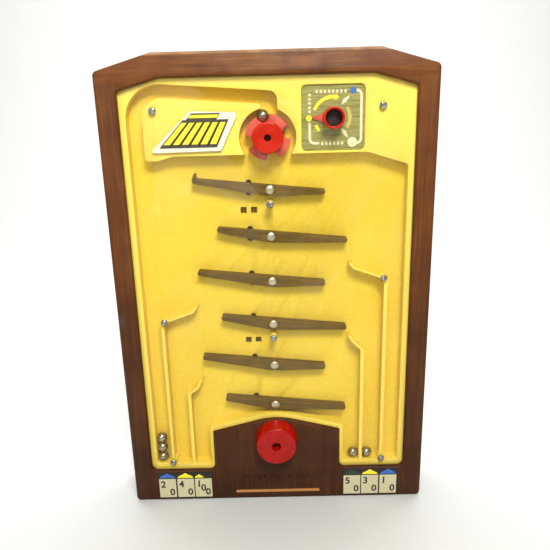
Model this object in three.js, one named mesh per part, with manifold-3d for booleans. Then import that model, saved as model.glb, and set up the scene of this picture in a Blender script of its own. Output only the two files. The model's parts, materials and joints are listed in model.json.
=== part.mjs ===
// Clockwork ball-run game: a standing case with six tilting beams behind a clear cover.
// Millimetres, +Z up, front towards -Y. Outlines are drawn in X and Z as seen from the front,
// and "depth" is counted from the front plane of the case towards the back.
import * as THREE from 'three';
import { mergeVertices } from 'three/addons/utils/BufferGeometryUtils.js';
import Module from 'manifold-3d';

const wasm = await Module();
wasm.setup();

// ---- case and window ----------------------------------------------------------------------
const CASE_WIDTH = 330;
const CASE_HEIGHT = 490;
const CASE_WALL = 3;
const FRONT_WALL = 4.2;
const CASE_CORNER = 5;
const CASE_EDGE = 2.4;
const SHOULDER_RUN = 56.1;
const SHOULDER_DROP = 16.2;
const REAR_SPACE = 4.3;

const FRAME_SIDE = 21;
const FRAME_TOP = 23.5;
const FRAME_BOTTOM = 39.2;
const WINDOW_SHOULDER_RUN = 41;
const WINDOW_SHOULDER_DROP = 11.5;
const WINDOW_BEVEL = 2;
const WINDOW_LAND = 1;
const APRON_SHOULDER = 87.6;
const APRON_SLOPE = 14.3;
const APRON_CROWN = 80;

const PANEL_HALF = 48;
const PANEL_LOW = 11.5;
const PANEL_HEIGHT = 20;
const PANEL_DEPTH = 1.4;
const PANEL_BEVEL = 2.6;

const FIT_GAP = 0.3;
const SLIDE_GAP = 0.5;
const ARC_FINENESS = 1.2;

// ---- cover and tray -----------------------------------------------------------------------
const COVER_THICKNESS = 1.8;
const COVER_LAP = 4;
const BALL_DIAMETER = 11.9;
const BALL_PLAY = 1.8;
const FLOOR_THICKNESS = 2.2;
const RIM_WIDTH = 5.5;
const RING_MARGIN = 3.5;
const SKIN = 2.5;

const DIVIDER_WALL = 3.5;
const ARM_WALL = 2.6;
const ARM_FOOT = 4.5;
const OUTER_COLUMN = 17.25;
const MIDDLE_COLUMN = 20;
const INNER_COLUMN = 19.1;
const HOOK_REACH = 14.5;
const APRON_RIM = 3.6;
const RAMP_RUN = 40.5;
const RAMP_DROP = 12.8;

const TIP_WALL = 3.2;
const CHANNEL_PLAY = 1;
const CHANNEL_SLOPE = 4.46;
const CHANNEL_TOP_RIM = 1.95;
const LEFT_CHANNEL = 16;
const MOUTH_LEFT = -6.4;
const MOUTH_RIGHT = 10.1;
const LIP_DROP = 4.2;
const LIP_RUN = 12.5;
const LIP_RISE_RUN = 15;

// ---- beams and drive bar ------------------------------------------------------------------
const BEAM_COUNT = 6;
const BEAM_STAGGER = 23;
const BEAM_END_GAP = 1.2;
const BEAM_TOP = 4.6;
const BEAM_END_HEIGHT = 4.8;
const BEAM_MIDDLE_HEIGHT = 10.8;
const BEAM_HUB = 7;
const BEAM_REST_TILT = 6;
const BEAM_TILT_LIMIT = 8;
const BEAM_BEHIND_COVER = 2.7;
const BEAM_FLOOR_GAP = 0.6;
const BEAM_HOOK_HEIGHT = 7.5;
const BEAM_HOOK_FOOT = 3.6;
const PIVOT_BELOW_EDGE = 35.4;
const PIVOT_ABOVE_APRON = 13.2;
const PIVOT_RADIUS = 2.5;
const PIVOT_HEAD_RADIUS = 4.6;
const DRIVE_ARM = 21.9;
const PIN_RADIUS = 2;
const PIN_GAP = 0.25;

const BAR_OFFSET = 0.6;
const BAR_WIDTH = 16;
const BAR_THICKNESS = 3;
const BAR_CORNER = 3;
const SLOT_WIDTH = 6.4;
const SLOT_HEIGHT = 16.4;
const SLOT_RISE = 1.3;
const GUIDED_PIVOTS = [0, 3];
const GUIDE_SIZE = 6.5;
const GUIDE_DROP = 22;
const GUIDE_WALL = 2;
const GUIDE_CATCH = 3.5;
const GUIDE_WINDOW_OFFSET = 5.5;

// ---- steering -----------------------------------------------------------------------------
const STEER_Z = 78.2;
const STEER_BASE_RADIUS = 24;
const STEER_TAPER = 2.3;
const STEER_HEIGHT = 16.4;
const STEER_GAP = 0.4;
const STEER_HOLE = 5;
const STEER_HOLE_DEPTH = 8.8;
const STEER_SHAFT = 4;
const STEER_SOCKET = 5.6;
const STEER_SCREW_GRIP = 14;
const STEER_LIMIT = 30;
const BEARING_WALL = 4;
const CRANK_DISC = 10;
const CRANK_THICKNESS = 2.2;
const KNOB_EDGE = 1.5;

// ---- feeder and speed dial ----------------------------------------------------------------
const FEEDER_X = -0.6;
const WHEEL_RADIUS = 22.5;
const POCKET_COUNT = 4;
const POCKET_ANGLE = 102;
const POCKET_INSET = 1.2;
const POCKET_PLAY = 0.45;
const CHAMBER_PLAY = 0.95;
const WHEEL_FLOOR_GAP = 0.7;
const FEEDER_KNOB_RADIUS = 15.3;
const FEEDER_KNOB_PROUD = 6;
const FEEDER_KNOB_CLEARANCE = 1.2;
const FEEDER_HOLE = 3.4;
const FEEDER_HOLE_DEPTH = 7;
const FEEDER_SOCKET = 3.9;
const FEEDER_SCREW_GRIP = 11;
const ARBOR_RADIUS = 2.5;

const DIAL_GAP = 5.15;
const DIAL_RIM = 2.55;
const DIAL_WIDTH = 61.5;
const DIAL_HEIGHT = 61.5;
const DIAL_CORNER = 4.5;
const DIAL_RECESS = 2.5;
const LABEL_THICKNESS = 0.4;
const SPEED_RADIUS = 10.3;
const SPEED_WALL = 2;
const SPEED_PROUD = 6.5;
const SPEED_BASE = 3;
const SPEED_CLEARANCE = 0.8;
const SPEED_TURN = 130;
const SPINDLE_RADIUS = 3.2;
const POINTER_LENGTH = 20.5;
const POINTER_ROOT = 5.2;
const POINTER_TIP = 0.4;
const POINTER_THICKNESS = 1;

// ---- screws, posts and labels -------------------------------------------------------------
const SCREW_HEAD = 3.6;
const SCREW_HEAD_HEIGHT = 2.1;
const SCREW_HEAD_EDGE = 0.9;
const SCREW_SHANK = 1.5;
const SCREW_POINT = 1.5;
const SMALL_HEAD = 2.9;
const SMALL_SHANK = 1.3;
const BORE_RELIEF = 2;
const POST_RADIUS = 3.7;
const HEAD_SCREW_SIDE = 32.5;
const HEAD_SCREW_TOP = 29.5;
const MIDDLE_SCREW_DROP = 14.3;
const WALL_SCREW_INSET = 2.8;
const FOOT_SCREW_RISE = 3;

const BOSS_RADIUS = 4.5;
const BOSS_RISE = 11;
const BOSS_BELOW_SHOULDER = 13;
const TUBE_RADIUS = 5.3;
const TUBE_BORE = 4.1;
const TUBE_GAP = 0.7;
const TUBE_FLOOR = 4.5;

const TITLE_INSET = 26.5;
const TITLE_GAP = 27.9;
const TITLE_RISE = 3.6;
const TITLE_HEIGHT = 38;
const TITLE_TOP = 47;
const TITLE_LEAN = 18;
const TITLE_TILT = 1;
const SCORE_INSIDE = 4.4;
const SCORE_OUTSIDE = 0.8;
const SCORE_LOW = 3.6;
const SCORE_TOP_GAP = 2.6;

// ---- clockwork ----------------------------------------------------------------------------
const MOTOR_PLATE = 1.2;
const MOTOR_STANDOFF = 4.5;
const MOTOR_MARGIN = 10.5;
const PILLAR_RADIUS = 2.5;
const PILLAR_INSET = 5;
const PILLAR_SEAT_WALL = 1.5;
const GEAR_MODULE = 1.9;
const GEAR_ADDENDUM = 0.8;
const GEAR_DEDENDUM = 1.15;
const WHEEL_TEETH = 24;
const PINION_TEETH = 8;
const GEAR_THICKNESS = 2.2;
const PINION_OVERHANG = 0.4;
const MESH_GAP = 1.3;
const STAGE_GAP = 2.3;
const STAFF_RADIUS = 1.5;
const STAFF_END = 0.6;
const DRUM_RADIUS = 6;
const BRAKE_GAP = 0.4;
const ROTOR_HALF = 13;
const ROTOR_HALF_WIDTH = 3;
const ROTOR_THICKNESS = 2.5;
const ROTOR_GAP = 2;
const CAM_RADIUS = 6.5;
const CAM_LIFT = 0.5;
const CAM_STEP = 20;
const LEVER_HEIGHT = 3.5;
const LEVER_THICKNESS = 3;
const LEVER_ARM = 22.5;
const LEVER_END = 8;
const LEVER_EYE = 4;
const SPRING_RADIUS = 19.4;
const SPRING_TURNS = 3.5;
const SPRING_STRIP = 0.6;
const SPRING_WIDTH = 7;
const SPRING_POST = 1.6;

// ---- depths worked out from them ----------------------------------------------------------
const coverFront = FRONT_WALL + FIT_GAP;
const coverBack = coverFront + COVER_THICKNESS;
const plateau = coverBack + FIT_GAP;
const floorFront = coverBack + BALL_DIAMETER + BALL_PLAY;
const floorBack = floorFront + FLOOR_THICKNESS;
const ballDepth = (coverBack + floorFront) / 2;
const beamFront = coverBack + BEAM_BEHIND_COVER;
const barFront = floorBack + SLIDE_GAP;
const barBack = barFront + BAR_THICKNESS;
const crankBack = barFront + CRANK_THICKNESS;
const footFront = crankBack + SLIDE_GAP;
const footBack = footFront + BAR_THICKNESS;

const motorFront = floorBack + MOTOR_STANDOFF + FIT_GAP;
const motorInside = motorFront + MOTOR_PLATE;
const firstMesh = motorInside + MESH_GAP;
const secondMesh = firstMesh + GEAR_THICKNESS + STAGE_GAP;
const brakeDepth = secondMesh + GEAR_THICKNESS + STAGE_GAP;
const rotorFront = brakeDepth + LEVER_THICKNESS + ROTOR_GAP;
const springBack = brakeDepth + SPRING_WIDTH;
const motorRear = Math.max(rotorFront + ROTOR_THICKNESS, springBack) + STAGE_GAP + LEVER_THICKNESS / 2;
const motorBack = motorRear + MOTOR_PLATE;
const caseDepth = motorBack + REAR_SPACE + CASE_WALL;
const FRONT_Y = (STEER_HEIGHT + STEER_GAP - caseDepth) / 2;

// ---- places worked out from them ----------------------------------------------------------
const radians = THREE.MathUtils.degToRad;
const caseHalf = CASE_WIDTH / 2;
const windowHalf = caseHalf - FRAME_SIDE;
const windowTop = CASE_HEIGHT - FRAME_TOP;
const wallX = windowHalf - RIM_WIDTH;
const outerDividerX = wallX - OUTER_COLUMN - DIVIDER_WALL / 2;
const innerDividerX = outerDividerX - MIDDLE_COLUMN - DIVIDER_WALL;
const apronWallX = innerDividerX - DIVIDER_WALL / 2 - INNER_COLUMN;
const apronHalf = apronWallX - APRON_RIM;
const tipX = innerDividerX - HOOK_REACH;
const fieldBottom = FRAME_BOTTOM + RIM_WIDTH;

const pocketRadius = BALL_DIAMETER / 2 + POCKET_PLAY;
const pocketCentre = WHEEL_RADIUS - POCKET_INSET;
const pocketAngle = radians(POCKET_ANGLE);
const chamberRadius = pocketCentre + BALL_DIAMETER / 2 + CHAMBER_PLAY;
const channelWidth = BALL_DIAMETER + CHANNEL_PLAY;
const channelSlope = Math.tan(radians(CHANNEL_SLOPE));
const feederZ = windowTop - CHANNEL_TOP_RIM - (wallX + FEEDER_X) * channelSlope
  - channelWidth - TIP_WALL - chamberRadius;
const leverLow = feederZ + DRUM_RADIUS + CAM_LIFT + BRAKE_GAP;
const leverZ = leverLow + LEVER_HEIGHT / 2;
const speedX = FEEDER_X + chamberRadius + DIAL_GAP + DIAL_WIDTH / 2;
const speedZ = leverLow + LEVER_HEIGHT + FIT_GAP + CAM_RADIUS;
const plateauEdge = speedZ - DIAL_HEIGHT / 2 - DIAL_RIM;

const apronRise = Math.tan(radians(APRON_SLOPE));
const apronPeak = APRON_SHOULDER + apronHalf * apronRise;
const apronTop = apronPeak - APRON_CROWN * (Math.hypot(1, apronRise) - 1);
const highPivot = plateauEdge - PIVOT_BELOW_EDGE;
const lowPivot = apronTop + PIVOT_ABOVE_APRON;
const pivotStep = (highPivot - lowPivot) / (BEAM_COUNT - 1);
const pivotZ = Array.from({ length: BEAM_COUNT }, (_, i) => highPivot - i * pivotStep);
const beamLong = tipX - ARM_WALL / 2 - BEAM_END_GAP;
const beamShort = beamLong - BEAM_STAGGER;

const restTilt = radians(BEAM_REST_TILT);
const tiltLimit = radians(BEAM_TILT_LIMIT);
const barRise = DRIVE_ARM * Math.sin(restTilt);
const barX = -DRIVE_ARM - BAR_OFFSET;
const crankRadius = (DRIVE_ARM * Math.sin(tiltLimit)) / Math.sin(radians(STEER_LIMIT));
const crankRest = radians((STEER_LIMIT * BEAM_REST_TILT) / BEAM_TILT_LIMIT);
const steerFront = -STEER_GAP - STEER_HEIGHT;
const steerSeat = steerFront + STEER_HOLE_DEPTH;
const steerSocket = -STEER_GAP - STEER_SOCKET;
const knobBack = plateau + SLIDE_GAP;
const knobSeat = -FEEDER_KNOB_PROUD + FEEDER_HOLE_DEPTH;
const knobSocket = knobBack - FEEDER_SOCKET;

// The four scoring walls: the height where each one's arm starts, and the rise of arm and hook.
const dividers = [
  { x: outerDividerX, side: -1, top: pivotZ[3] + 6, rise: 10.5, hook: 7 },
  { x: outerDividerX, side: 1, top: pivotZ[2] + 2, rise: 11, hook: 5.5 },
  { x: innerDividerX, side: -1, top: pivotZ[4] - 31, rise: 6.5, hook: 10 },
  { x: innerDividerX, side: 1, top: pivotZ[3] - 30, rise: 8, hook: 7.5 },
];

const headScrews = [-1, 1].map((side) => [side * (windowHalf - HEAD_SCREW_SIDE), windowTop - HEAD_SCREW_TOP]);
const fieldScrews = [
  [0, pivotZ[0] - MIDDLE_SCREW_DROP],
  [0, pivotZ[3] - MIDDLE_SCREW_DROP],
  [-outerDividerX + WALL_SCREW_INSET, dividers[0].top],
  [outerDividerX - WALL_SCREW_INSET, dividers[1].top],
  [-outerDividerX, fieldBottom + FOOT_SCREW_RISE],
  [outerDividerX, fieldBottom + FOOT_SCREW_RISE],
];
const coverScrews = [...headScrews, ...fieldScrews];

const bossX = caseHalf - CASE_WALL - TUBE_GAP - TUBE_RADIUS;
const bossLow = CASE_WALL + BOSS_RISE;
const bossHigh = CASE_HEIGHT - SHOULDER_DROP - CASE_WALL - BOSS_BELOW_SHOULDER;
const bosses = [bossLow, (bossLow + bossHigh) / 2, bossHigh].flatMap((z) => [[-bossX, z], [bossX, z]]);

const gearTip = (WHEEL_TEETH / 2 + GEAR_ADDENDUM) * GEAR_MODULE;
const gearCentres = (GEAR_MODULE * (WHEEL_TEETH + PINION_TEETH)) / 2;
const meshTurn = (PINION_TEETH + 1) / 2;
const secondX = FEEDER_X + gearCentres;
const governorX = secondX + gearCentres;
const leverPivotX = Math.max(speedX, governorX) + LEVER_ARM;
const leverEndX = Math.min(speedX, governorX) - LEVER_END;
const motorLeft = FEEDER_X - gearTip - MOTOR_MARGIN;
const motorRight = leverPivotX + MOTOR_MARGIN;
const motorLow = feederZ - gearTip - MOTOR_MARGIN;
const motorHigh = speedZ + CAM_RADIUS + MOTOR_MARGIN;
const pillars = [motorLeft + PILLAR_INSET, motorRight - PILLAR_INSET].flatMap((x) => [
  [x, motorLow + PILLAR_INSET],
  [x, motorHigh - PILLAR_INSET],
]);

// ---- outlines -----------------------------------------------------------------------------
// A corner is [x, z, radius]; outlines run anticlockwise as seen from the front.
function directions(corners, i) {
  const [x, z] = corners[i];
  const before = corners[(i + corners.length - 1) % corners.length];
  const after = corners[(i + 1) % corners.length];
  return {
    inward: new THREE.Vector2(x - before[0], z - before[1]).normalize(),
    outward: new THREE.Vector2(after[0] - x, after[1] - z).normalize(),
  };
}

function grow(corners, distance) {
  return corners.map(([x, z, radius = 0], i) => {
    const { inward, outward } = directions(corners, i);
    const share = distance / (1 + inward.dot(outward));
    const turn = Math.sign(inward.cross(outward));
    return [
      x + share * (inward.y + outward.y),
      z - share * (inward.x + outward.x),
      Math.max(radius + turn * distance, 0),
    ];
  });
}

// The shape inside the corners, each rounded to its radius; tiny radii stay sharp.
function outline(corners) {
  const sharp = 0.05;
  const points = [];
  corners.forEach(([x, z, radius = 0], i) => {
    const here = new THREE.Vector2(x, z);
    if (radius < sharp) {
      points.push(here);
      return;
    }
    const { inward, outward } = directions(corners, i);
    const turn = Math.atan2(inward.cross(outward), inward.dot(outward));
    const steps = Math.ceil(ARC_FINENESS * Math.sqrt(radius * Math.abs(turn)));
    const reach = radius * Math.tan(Math.abs(turn) / 2);
    const start = here.clone().addScaledVector(inward, -reach);
    const side = new THREE.Vector2(-inward.y, inward.x).multiplyScalar(Math.sign(turn) * radius);
    const centre = start.clone().add(side);
    for (let k = 0; k <= steps; k += 1) {
      points.push(start.clone().rotateAround(centre, (turn * k) / steps));
    }
  });
  return new THREE.Shape(points);
}

function box(left, right, low, high, radius = 0) {
  return [[left, low, radius], [right, low, radius], [right, high, radius], [left, high, radius]];
}

// A wall of even thickness along a line of points, with square ends.
function wall(points, thickness) {
  const left = [];
  const right = [];
  points.forEach(([x, z], i) => {
    const before = points[Math.max(i - 1, 0)];
    const after = points[Math.min(i + 1, points.length - 1)];
    const into = new THREE.Vector2(x - before[0], z - before[1]);
    const from = new THREE.Vector2(after[0] - x, after[1] - z);
    const first = (into.length() ? into : from).clone().normalize();
    const second = (from.length() ? from : into).clone().normalize();
    const share = thickness / 2 / (1 + first.dot(second));
    const offset = new THREE.Vector2(-(first.y + second.y), first.x + second.x).multiplyScalar(share);
    left.push([x + offset.x, z + offset.y]);
    right.push([x - offset.x, z - offset.y]);
  });
  return [...right, ...left.reverse()];
}

function tilted(corners, x, z, angle) {
  return corners.map(([cornerX, cornerZ, radius]) => {
    const point = new THREE.Vector2(cornerX, cornerZ).rotateAround(new THREE.Vector2(), angle);
    return [x + point.x, z + point.y, radius];
  });
}

const caseCorners = [
  [-caseHalf, 0, CASE_CORNER],
  [caseHalf, 0, CASE_CORNER],
  [caseHalf, CASE_HEIGHT - SHOULDER_DROP, CASE_CORNER],
  [caseHalf - SHOULDER_RUN, CASE_HEIGHT, CASE_CORNER],
  [-(caseHalf - SHOULDER_RUN), CASE_HEIGHT, CASE_CORNER],
  [-caseHalf, CASE_HEIGHT - SHOULDER_DROP, CASE_CORNER],
];
const insideCorners = grow(caseCorners, -CASE_WALL - SLIDE_GAP);

const windowCorners = [
  [apronHalf, FRAME_BOTTOM, 6],
  [windowHalf, FRAME_BOTTOM, 7],
  [windowHalf, windowTop - WINDOW_SHOULDER_DROP, 3],
  [windowHalf - WINDOW_SHOULDER_RUN, windowTop, 12],
  [-(windowHalf - WINDOW_SHOULDER_RUN), windowTop, 12],
  [-windowHalf, windowTop - WINDOW_SHOULDER_DROP, 3],
  [-windowHalf, FRAME_BOTTOM, 7],
  [-apronHalf, FRAME_BOTTOM, 6],
  [-apronHalf, APRON_SHOULDER, 1.5],
  [0, apronPeak, APRON_CROWN],
  [apronHalf, APRON_SHOULDER, 1.5],
];

// ---- solids -------------------------------------------------------------------------------
function solid(geometry) {
  geometry.deleteAttribute('normal');
  geometry.deleteAttribute('uv');
  const merged = mergeVertices(geometry, 1e-4);
  return new wasm.Manifold(new wasm.Mesh({
    numProp: 3,
    vertProperties: new Float32Array(merged.attributes.position.array),
    triVerts: new Uint32Array(merged.index.array),
  }));
}

function upright(geometry, depth) {
  geometry.rotateX(Math.PI / 2);
  geometry.translate(0, FRONT_Y + depth, 0);
  return solid(geometry);
}

// A plate with the outline as its face, from depth `front` to depth `back`.
function plate(corners, front, back) {
  const shape = outline(corners);
  return upright(new THREE.ExtrudeGeometry(shape, { depth: back - front, bevelEnabled: false }), back);
}

// A plate whose edge widens by `size` over the depth `rise` at both faces.
function bevelled(corners, front, back, size, rise, segments = 1) {
  const geometry = new THREE.ExtrudeGeometry(outline(corners), {
    depth: back - front - 2 * rise,
    bevelThickness: rise,
    bevelSize: size,
    bevelSegments: segments,
  });
  geometry.translate(0, 0, rise);
  return upright(geometry, back);
}

function rod(x, z, radius, front, back, sides = 12) {
  const geometry = new THREE.CylinderGeometry(radius, radius, back - front, sides);
  geometry.translate(x, FRONT_Y + (front + back) / 2, z);
  return solid(geometry);
}

// A body turned about a line along Y: the profile is [radius, depth], from front to back.
function turned(profile, x, z, sides = 24) {
  const points = profile.map(([radius, depth]) => new THREE.Vector2(radius, FRONT_Y + depth));
  const geometry = new THREE.LatheGeometry(points, sides);
  geometry.translate(x, 0, z);
  return solid(geometry);
}

function join(first, ...others) {
  return others.flat().reduce((body, other) => body.add(other), first);
}

function cut(first, ...others) {
  return others.flat().reduce((body, other) => body.subtract(other), first);
}

// A toothed wheel with straight-flanked teeth and easy backlash; `turn` is in tooth pitches.
function gear(x, z, teeth, turn, front, back) {
  const pitch = (GEAR_MODULE * teeth) / 2;
  const root = pitch - GEAR_DEDENDUM * GEAR_MODULE;
  const tip = pitch + GEAR_ADDENDUM * GEAR_MODULE;
  const marks = [[root, -0.27], [tip, -0.1], [tip, 0.1], [root, 0.27]];
  const corners = [];
  for (let i = 0; i < teeth; i += 1) {
    marks.forEach(([radius, share]) => {
      const angle = ((i + turn + share) * 2 * Math.PI) / teeth;
      corners.push([x + radius * Math.cos(angle), z + radius * Math.sin(angle)]);
    });
  }
  return plate(corners, front, back);
}

// A pan-head screw: its head rests on depth `seat` and its shank runs to depth `tip`.
function screw(x, z, seat, tip, head = SCREW_HEAD, shank = SCREW_SHANK) {
  const way = Math.sign(tip - seat);
  const under = seat - way * FIT_GAP;
  const crown = under - way * SCREW_HEAD_HEIGHT;
  const profile = [
    [0, crown], [head * 0.62, crown + way * 0.25], [head, under - way * SCREW_HEAD_EDGE], [head, under],
    [shank, under], [shank, tip - way * SCREW_POINT], [0, tip],
  ];
  return turned(way > 0 ? profile : profile.reverse(), x, z, 8);
}

// ---- finishes -----------------------------------------------------------------------------
const finishes = {
  brown: { color: 0x6b4020, roughness: 0.45, metalness: 0 },
  yellow: { color: 0xe8c85a, roughness: 0.5, metalness: 0 },
  clear: { color: 0xf2f2ea, roughness: 0.1, metalness: 0, transparent: true, opacity: 0.3 },
  olive: { color: 0x6e5f33, roughness: 0.5, metalness: 0 },
  red: { color: 0xc22410, roughness: 0.35, metalness: 0 },
  nickel: { color: 0xc8c6ba, roughness: 0.25, metalness: 1 },
  steel: { color: 0xa9abad, roughness: 0.3, metalness: 1 },
  brass: { color: 0xb8974c, roughness: 0.35, metalness: 1 },
  printed: { color: 0x8f8a48, roughness: 0.6, metalness: 0 },
  paper: { color: 0xe9e2c8, roughness: 0.6, metalness: 0 },
};

const group = new THREE.Group();

function add(name, body, finish) {
  const mesh = body.getMesh();
  const geometry = new THREE.BufferGeometry();
  geometry.setAttribute('position', new THREE.BufferAttribute(mesh.vertProperties, 3));
  geometry.setIndex(new THREE.BufferAttribute(mesh.triVerts, 1));
  geometry.computeVertexNormals();
  const node = new THREE.Mesh(geometry, new THREE.MeshStandardMaterial(finishes[finish]));
  node.name = name;
  group.add(node);
}

// ---- case ---------------------------------------------------------------------------------
const pilotRadius = SCREW_SHANK + FIT_GAP;
const bossPilotFront = FRONT_WALL + SKIN;
const tubeSeat = floorBack + FIT_GAP + TUBE_FLOOR;

function frontCase() {
  const nose = bevelled(grow(caseCorners, -CASE_EDGE), 0, floorBack, CASE_EDGE, CASE_EDGE, 2);
  const shell = join(nose, plate(caseCorners, ballDepth, caseDepth));
  const cavity = plate(grow(caseCorners, -CASE_WALL), FRONT_WALL, caseDepth + 1);
  const slope = FRONT_WALL - WINDOW_LAND;
  const opening = join(
    plate(windowCorners, -1, FRONT_WALL + 1),
    bevelled(windowCorners, -slope - 1, slope, WINDOW_BEVEL, slope),
  );
  const panelCorners = box(-PANEL_HALF, PANEL_HALF, PANEL_LOW, PANEL_LOW + PANEL_HEIGHT, 1);
  const panel = bevelled(panelCorners, -PANEL_DEPTH - 1, PANEL_DEPTH, PANEL_BEVEL, PANEL_DEPTH);
  const bearing = rod(0, STEER_Z, STEER_SHAFT + BEARING_WALL, FRONT_WALL - 1, floorFront - FIT_GAP, 16);
  const posts = bosses.map(([x, z]) => rod(x, z, BOSS_RADIUS, FRONT_WALL - 1, floorFront - SLIDE_GAP, 10));
  const pilots = bosses.map(([x, z]) => rod(x, z, pilotRadius, bossPilotFront, floorFront + 1, 6));
  return cut(
    join(cut(shell, cavity, opening, panel), bearing, posts),
    pilots,
    rod(0, STEER_Z, STEER_SHAFT + FIT_GAP, -1, floorFront + 1),
  );
}

function rearCover() {
  const front = caseDepth - CASE_WALL;
  const tubes = bosses.map(([x, z]) => rod(x, z, TUBE_RADIUS, floorBack + FIT_GAP, front + 1, 12));
  return cut(
    join(plate(insideCorners, front, caseDepth - FIT_GAP), tubes),
    bosses.map(([x, z]) => rod(x, z, TUBE_BORE, tubeSeat, caseDepth)),
    bosses.map(([x, z]) => rod(x, z, pilotRadius, floorBack, tubeSeat + 1, 6)),
  );
}

// ---- tray ---------------------------------------------------------------------------------
function roofAt(x) {
  return feederZ + chamberRadius + TIP_WALL + channelWidth + (FEEDER_X - x) * channelSlope;
}

function fieldCorners() {
  const rise = APRON_RIM * Math.hypot(1, apronRise);
  const shoulder = APRON_SHOULDER - APRON_RIM * apronRise + rise;
  return [
    [apronWallX, fieldBottom, 4],
    [wallX, fieldBottom, 4],
    [wallX, plateauEdge - RAMP_DROP, 3],
    [wallX - RAMP_RUN, plateauEdge, 8],
    [-wallX, plateauEdge],
    [-wallX, fieldBottom, 4],
    [-apronWallX, fieldBottom, 4],
    [-apronWallX, shoulder, 1.5],
    [0, apronPeak + rise, APRON_CROWN],
    [apronWallX, shoulder, 1.5],
  ];
}

function islandCorners() {
  const left = -(wallX - LEFT_CHANNEL);
  const right = FEEDER_X + MOUTH_LEFT;
  return [
    [left, plateauEdge - LIP_DROP, 4],
    [left + LIP_RUN, plateauEdge - LIP_DROP, 8],
    [left + LIP_RUN + LIP_RISE_RUN, plateauEdge, 8],
    [right, plateauEdge],
    [right, roofAt(right) - channelWidth, 1.5],
    [left, roofAt(left) - channelWidth, 20],
  ];
}

function headCorners() {
  const right = FEEDER_X + MOUTH_RIGHT;
  const low = plateauEdge - 2 * LIP_DROP;
  return [
    [-wallX, low],
    [right, low],
    [right, roofAt(right), 9],
    [-wallX, roofAt(-wallX), 33],
  ];
}

function dividerWalls() {
  return dividers.map(({ x, side, top, rise, hook }) => {
    const half = DIVIDER_WALL / 2;
    const post = box(side * x - half, side * x + half, fieldBottom - 2, top);
    const line = [
      [side * x, top - 1], [side * (tipX + ARM_FOOT), top + rise], [side * tipX, top + rise + hook],
    ];
    return join(plate(post, plateau, floorFront + 1), plate(wall(line, ARM_WALL), plateau, floorFront + 1));
  });
}

// Clips behind the floor that hold the drive bar's sides, and the square windows in front of them.
function barGuides() {
  const catchFront = barBack + SLIDE_GAP;
  return GUIDED_PIVOTS.flatMap((i) => [-1, 1].map((side) => {
    const low = pivotZ[i] - GUIDE_DROP - GUIDE_SIZE / 2;
    const face = barX + side * (BAR_WIDTH / 2 + SLIDE_GAP);
    const outer = face + side * GUIDE_WALL;
    const inner = barX + side * (BAR_WIDTH / 2 - GUIDE_CATCH);
    const leg = box(Math.min(face, outer), Math.max(face, outer), low, low + GUIDE_SIZE);
    const foot = box(Math.min(inner, outer), Math.max(inner, outer), low, low + GUIDE_SIZE);
    return join(
      plate(leg, floorBack - 1, catchFront + GUIDE_WALL),
      plate(foot, catchFront, catchFront + GUIDE_WALL),
    );
  }));
}

function guideWindows() {
  const half = GUIDE_SIZE / 2;
  return GUIDED_PIVOTS.flatMap((i) => [-1, 1].map((side) => {
    const x = barX + side * GUIDE_WINDOW_OFFSET;
    const z = pivotZ[i] - GUIDE_DROP;
    return plate(box(x - half, x + half, z - half, z + half), floorFront - 1, floorBack + 0.2);
  }));
}

function pillarSeats(front) {
  const radius = PILLAR_RADIUS + PILLAR_SEAT_WALL;
  return pillars.map(([x, z]) => rod(x, z, radius, front, floorBack + MOTOR_STANDOFF, 8));
}

// Pockets in the back of the raised plateaus, which keep the moulding thin around its posts.
function plateauPockets() {
  const wallGap = 4;
  const islandLeft = -(wallX - LEFT_CHANNEL) + 3.5 * wallGap;
  const islandRight = FEEDER_X - chamberRadius - 3.5 * wallGap;
  const islandTop = roofAt(islandRight) - channelWidth - wallGap;
  const island = box(islandLeft, islandRight, plateauEdge + wallGap, islandTop);
  const right = box(speedX - DIAL_WIDTH / 2 + wallGap, wallX - wallGap, plateauEdge + wallGap,
    windowTop - WINDOW_SHOULDER_DROP - wallGap);
  const posts = [
    ...headScrews.map(([x, z]) => rod(x, z, POST_RADIUS, plateau, floorBack + 2, 10)),
    ...pillarSeats(plateau),
  ];
  return [
    cut(plate(island, plateau + SKIN, floorBack + 1), posts),
    cut(plate(right, plateau + DIAL_RECESS + SKIN, floorBack + 1), posts),
  ];
}

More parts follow.
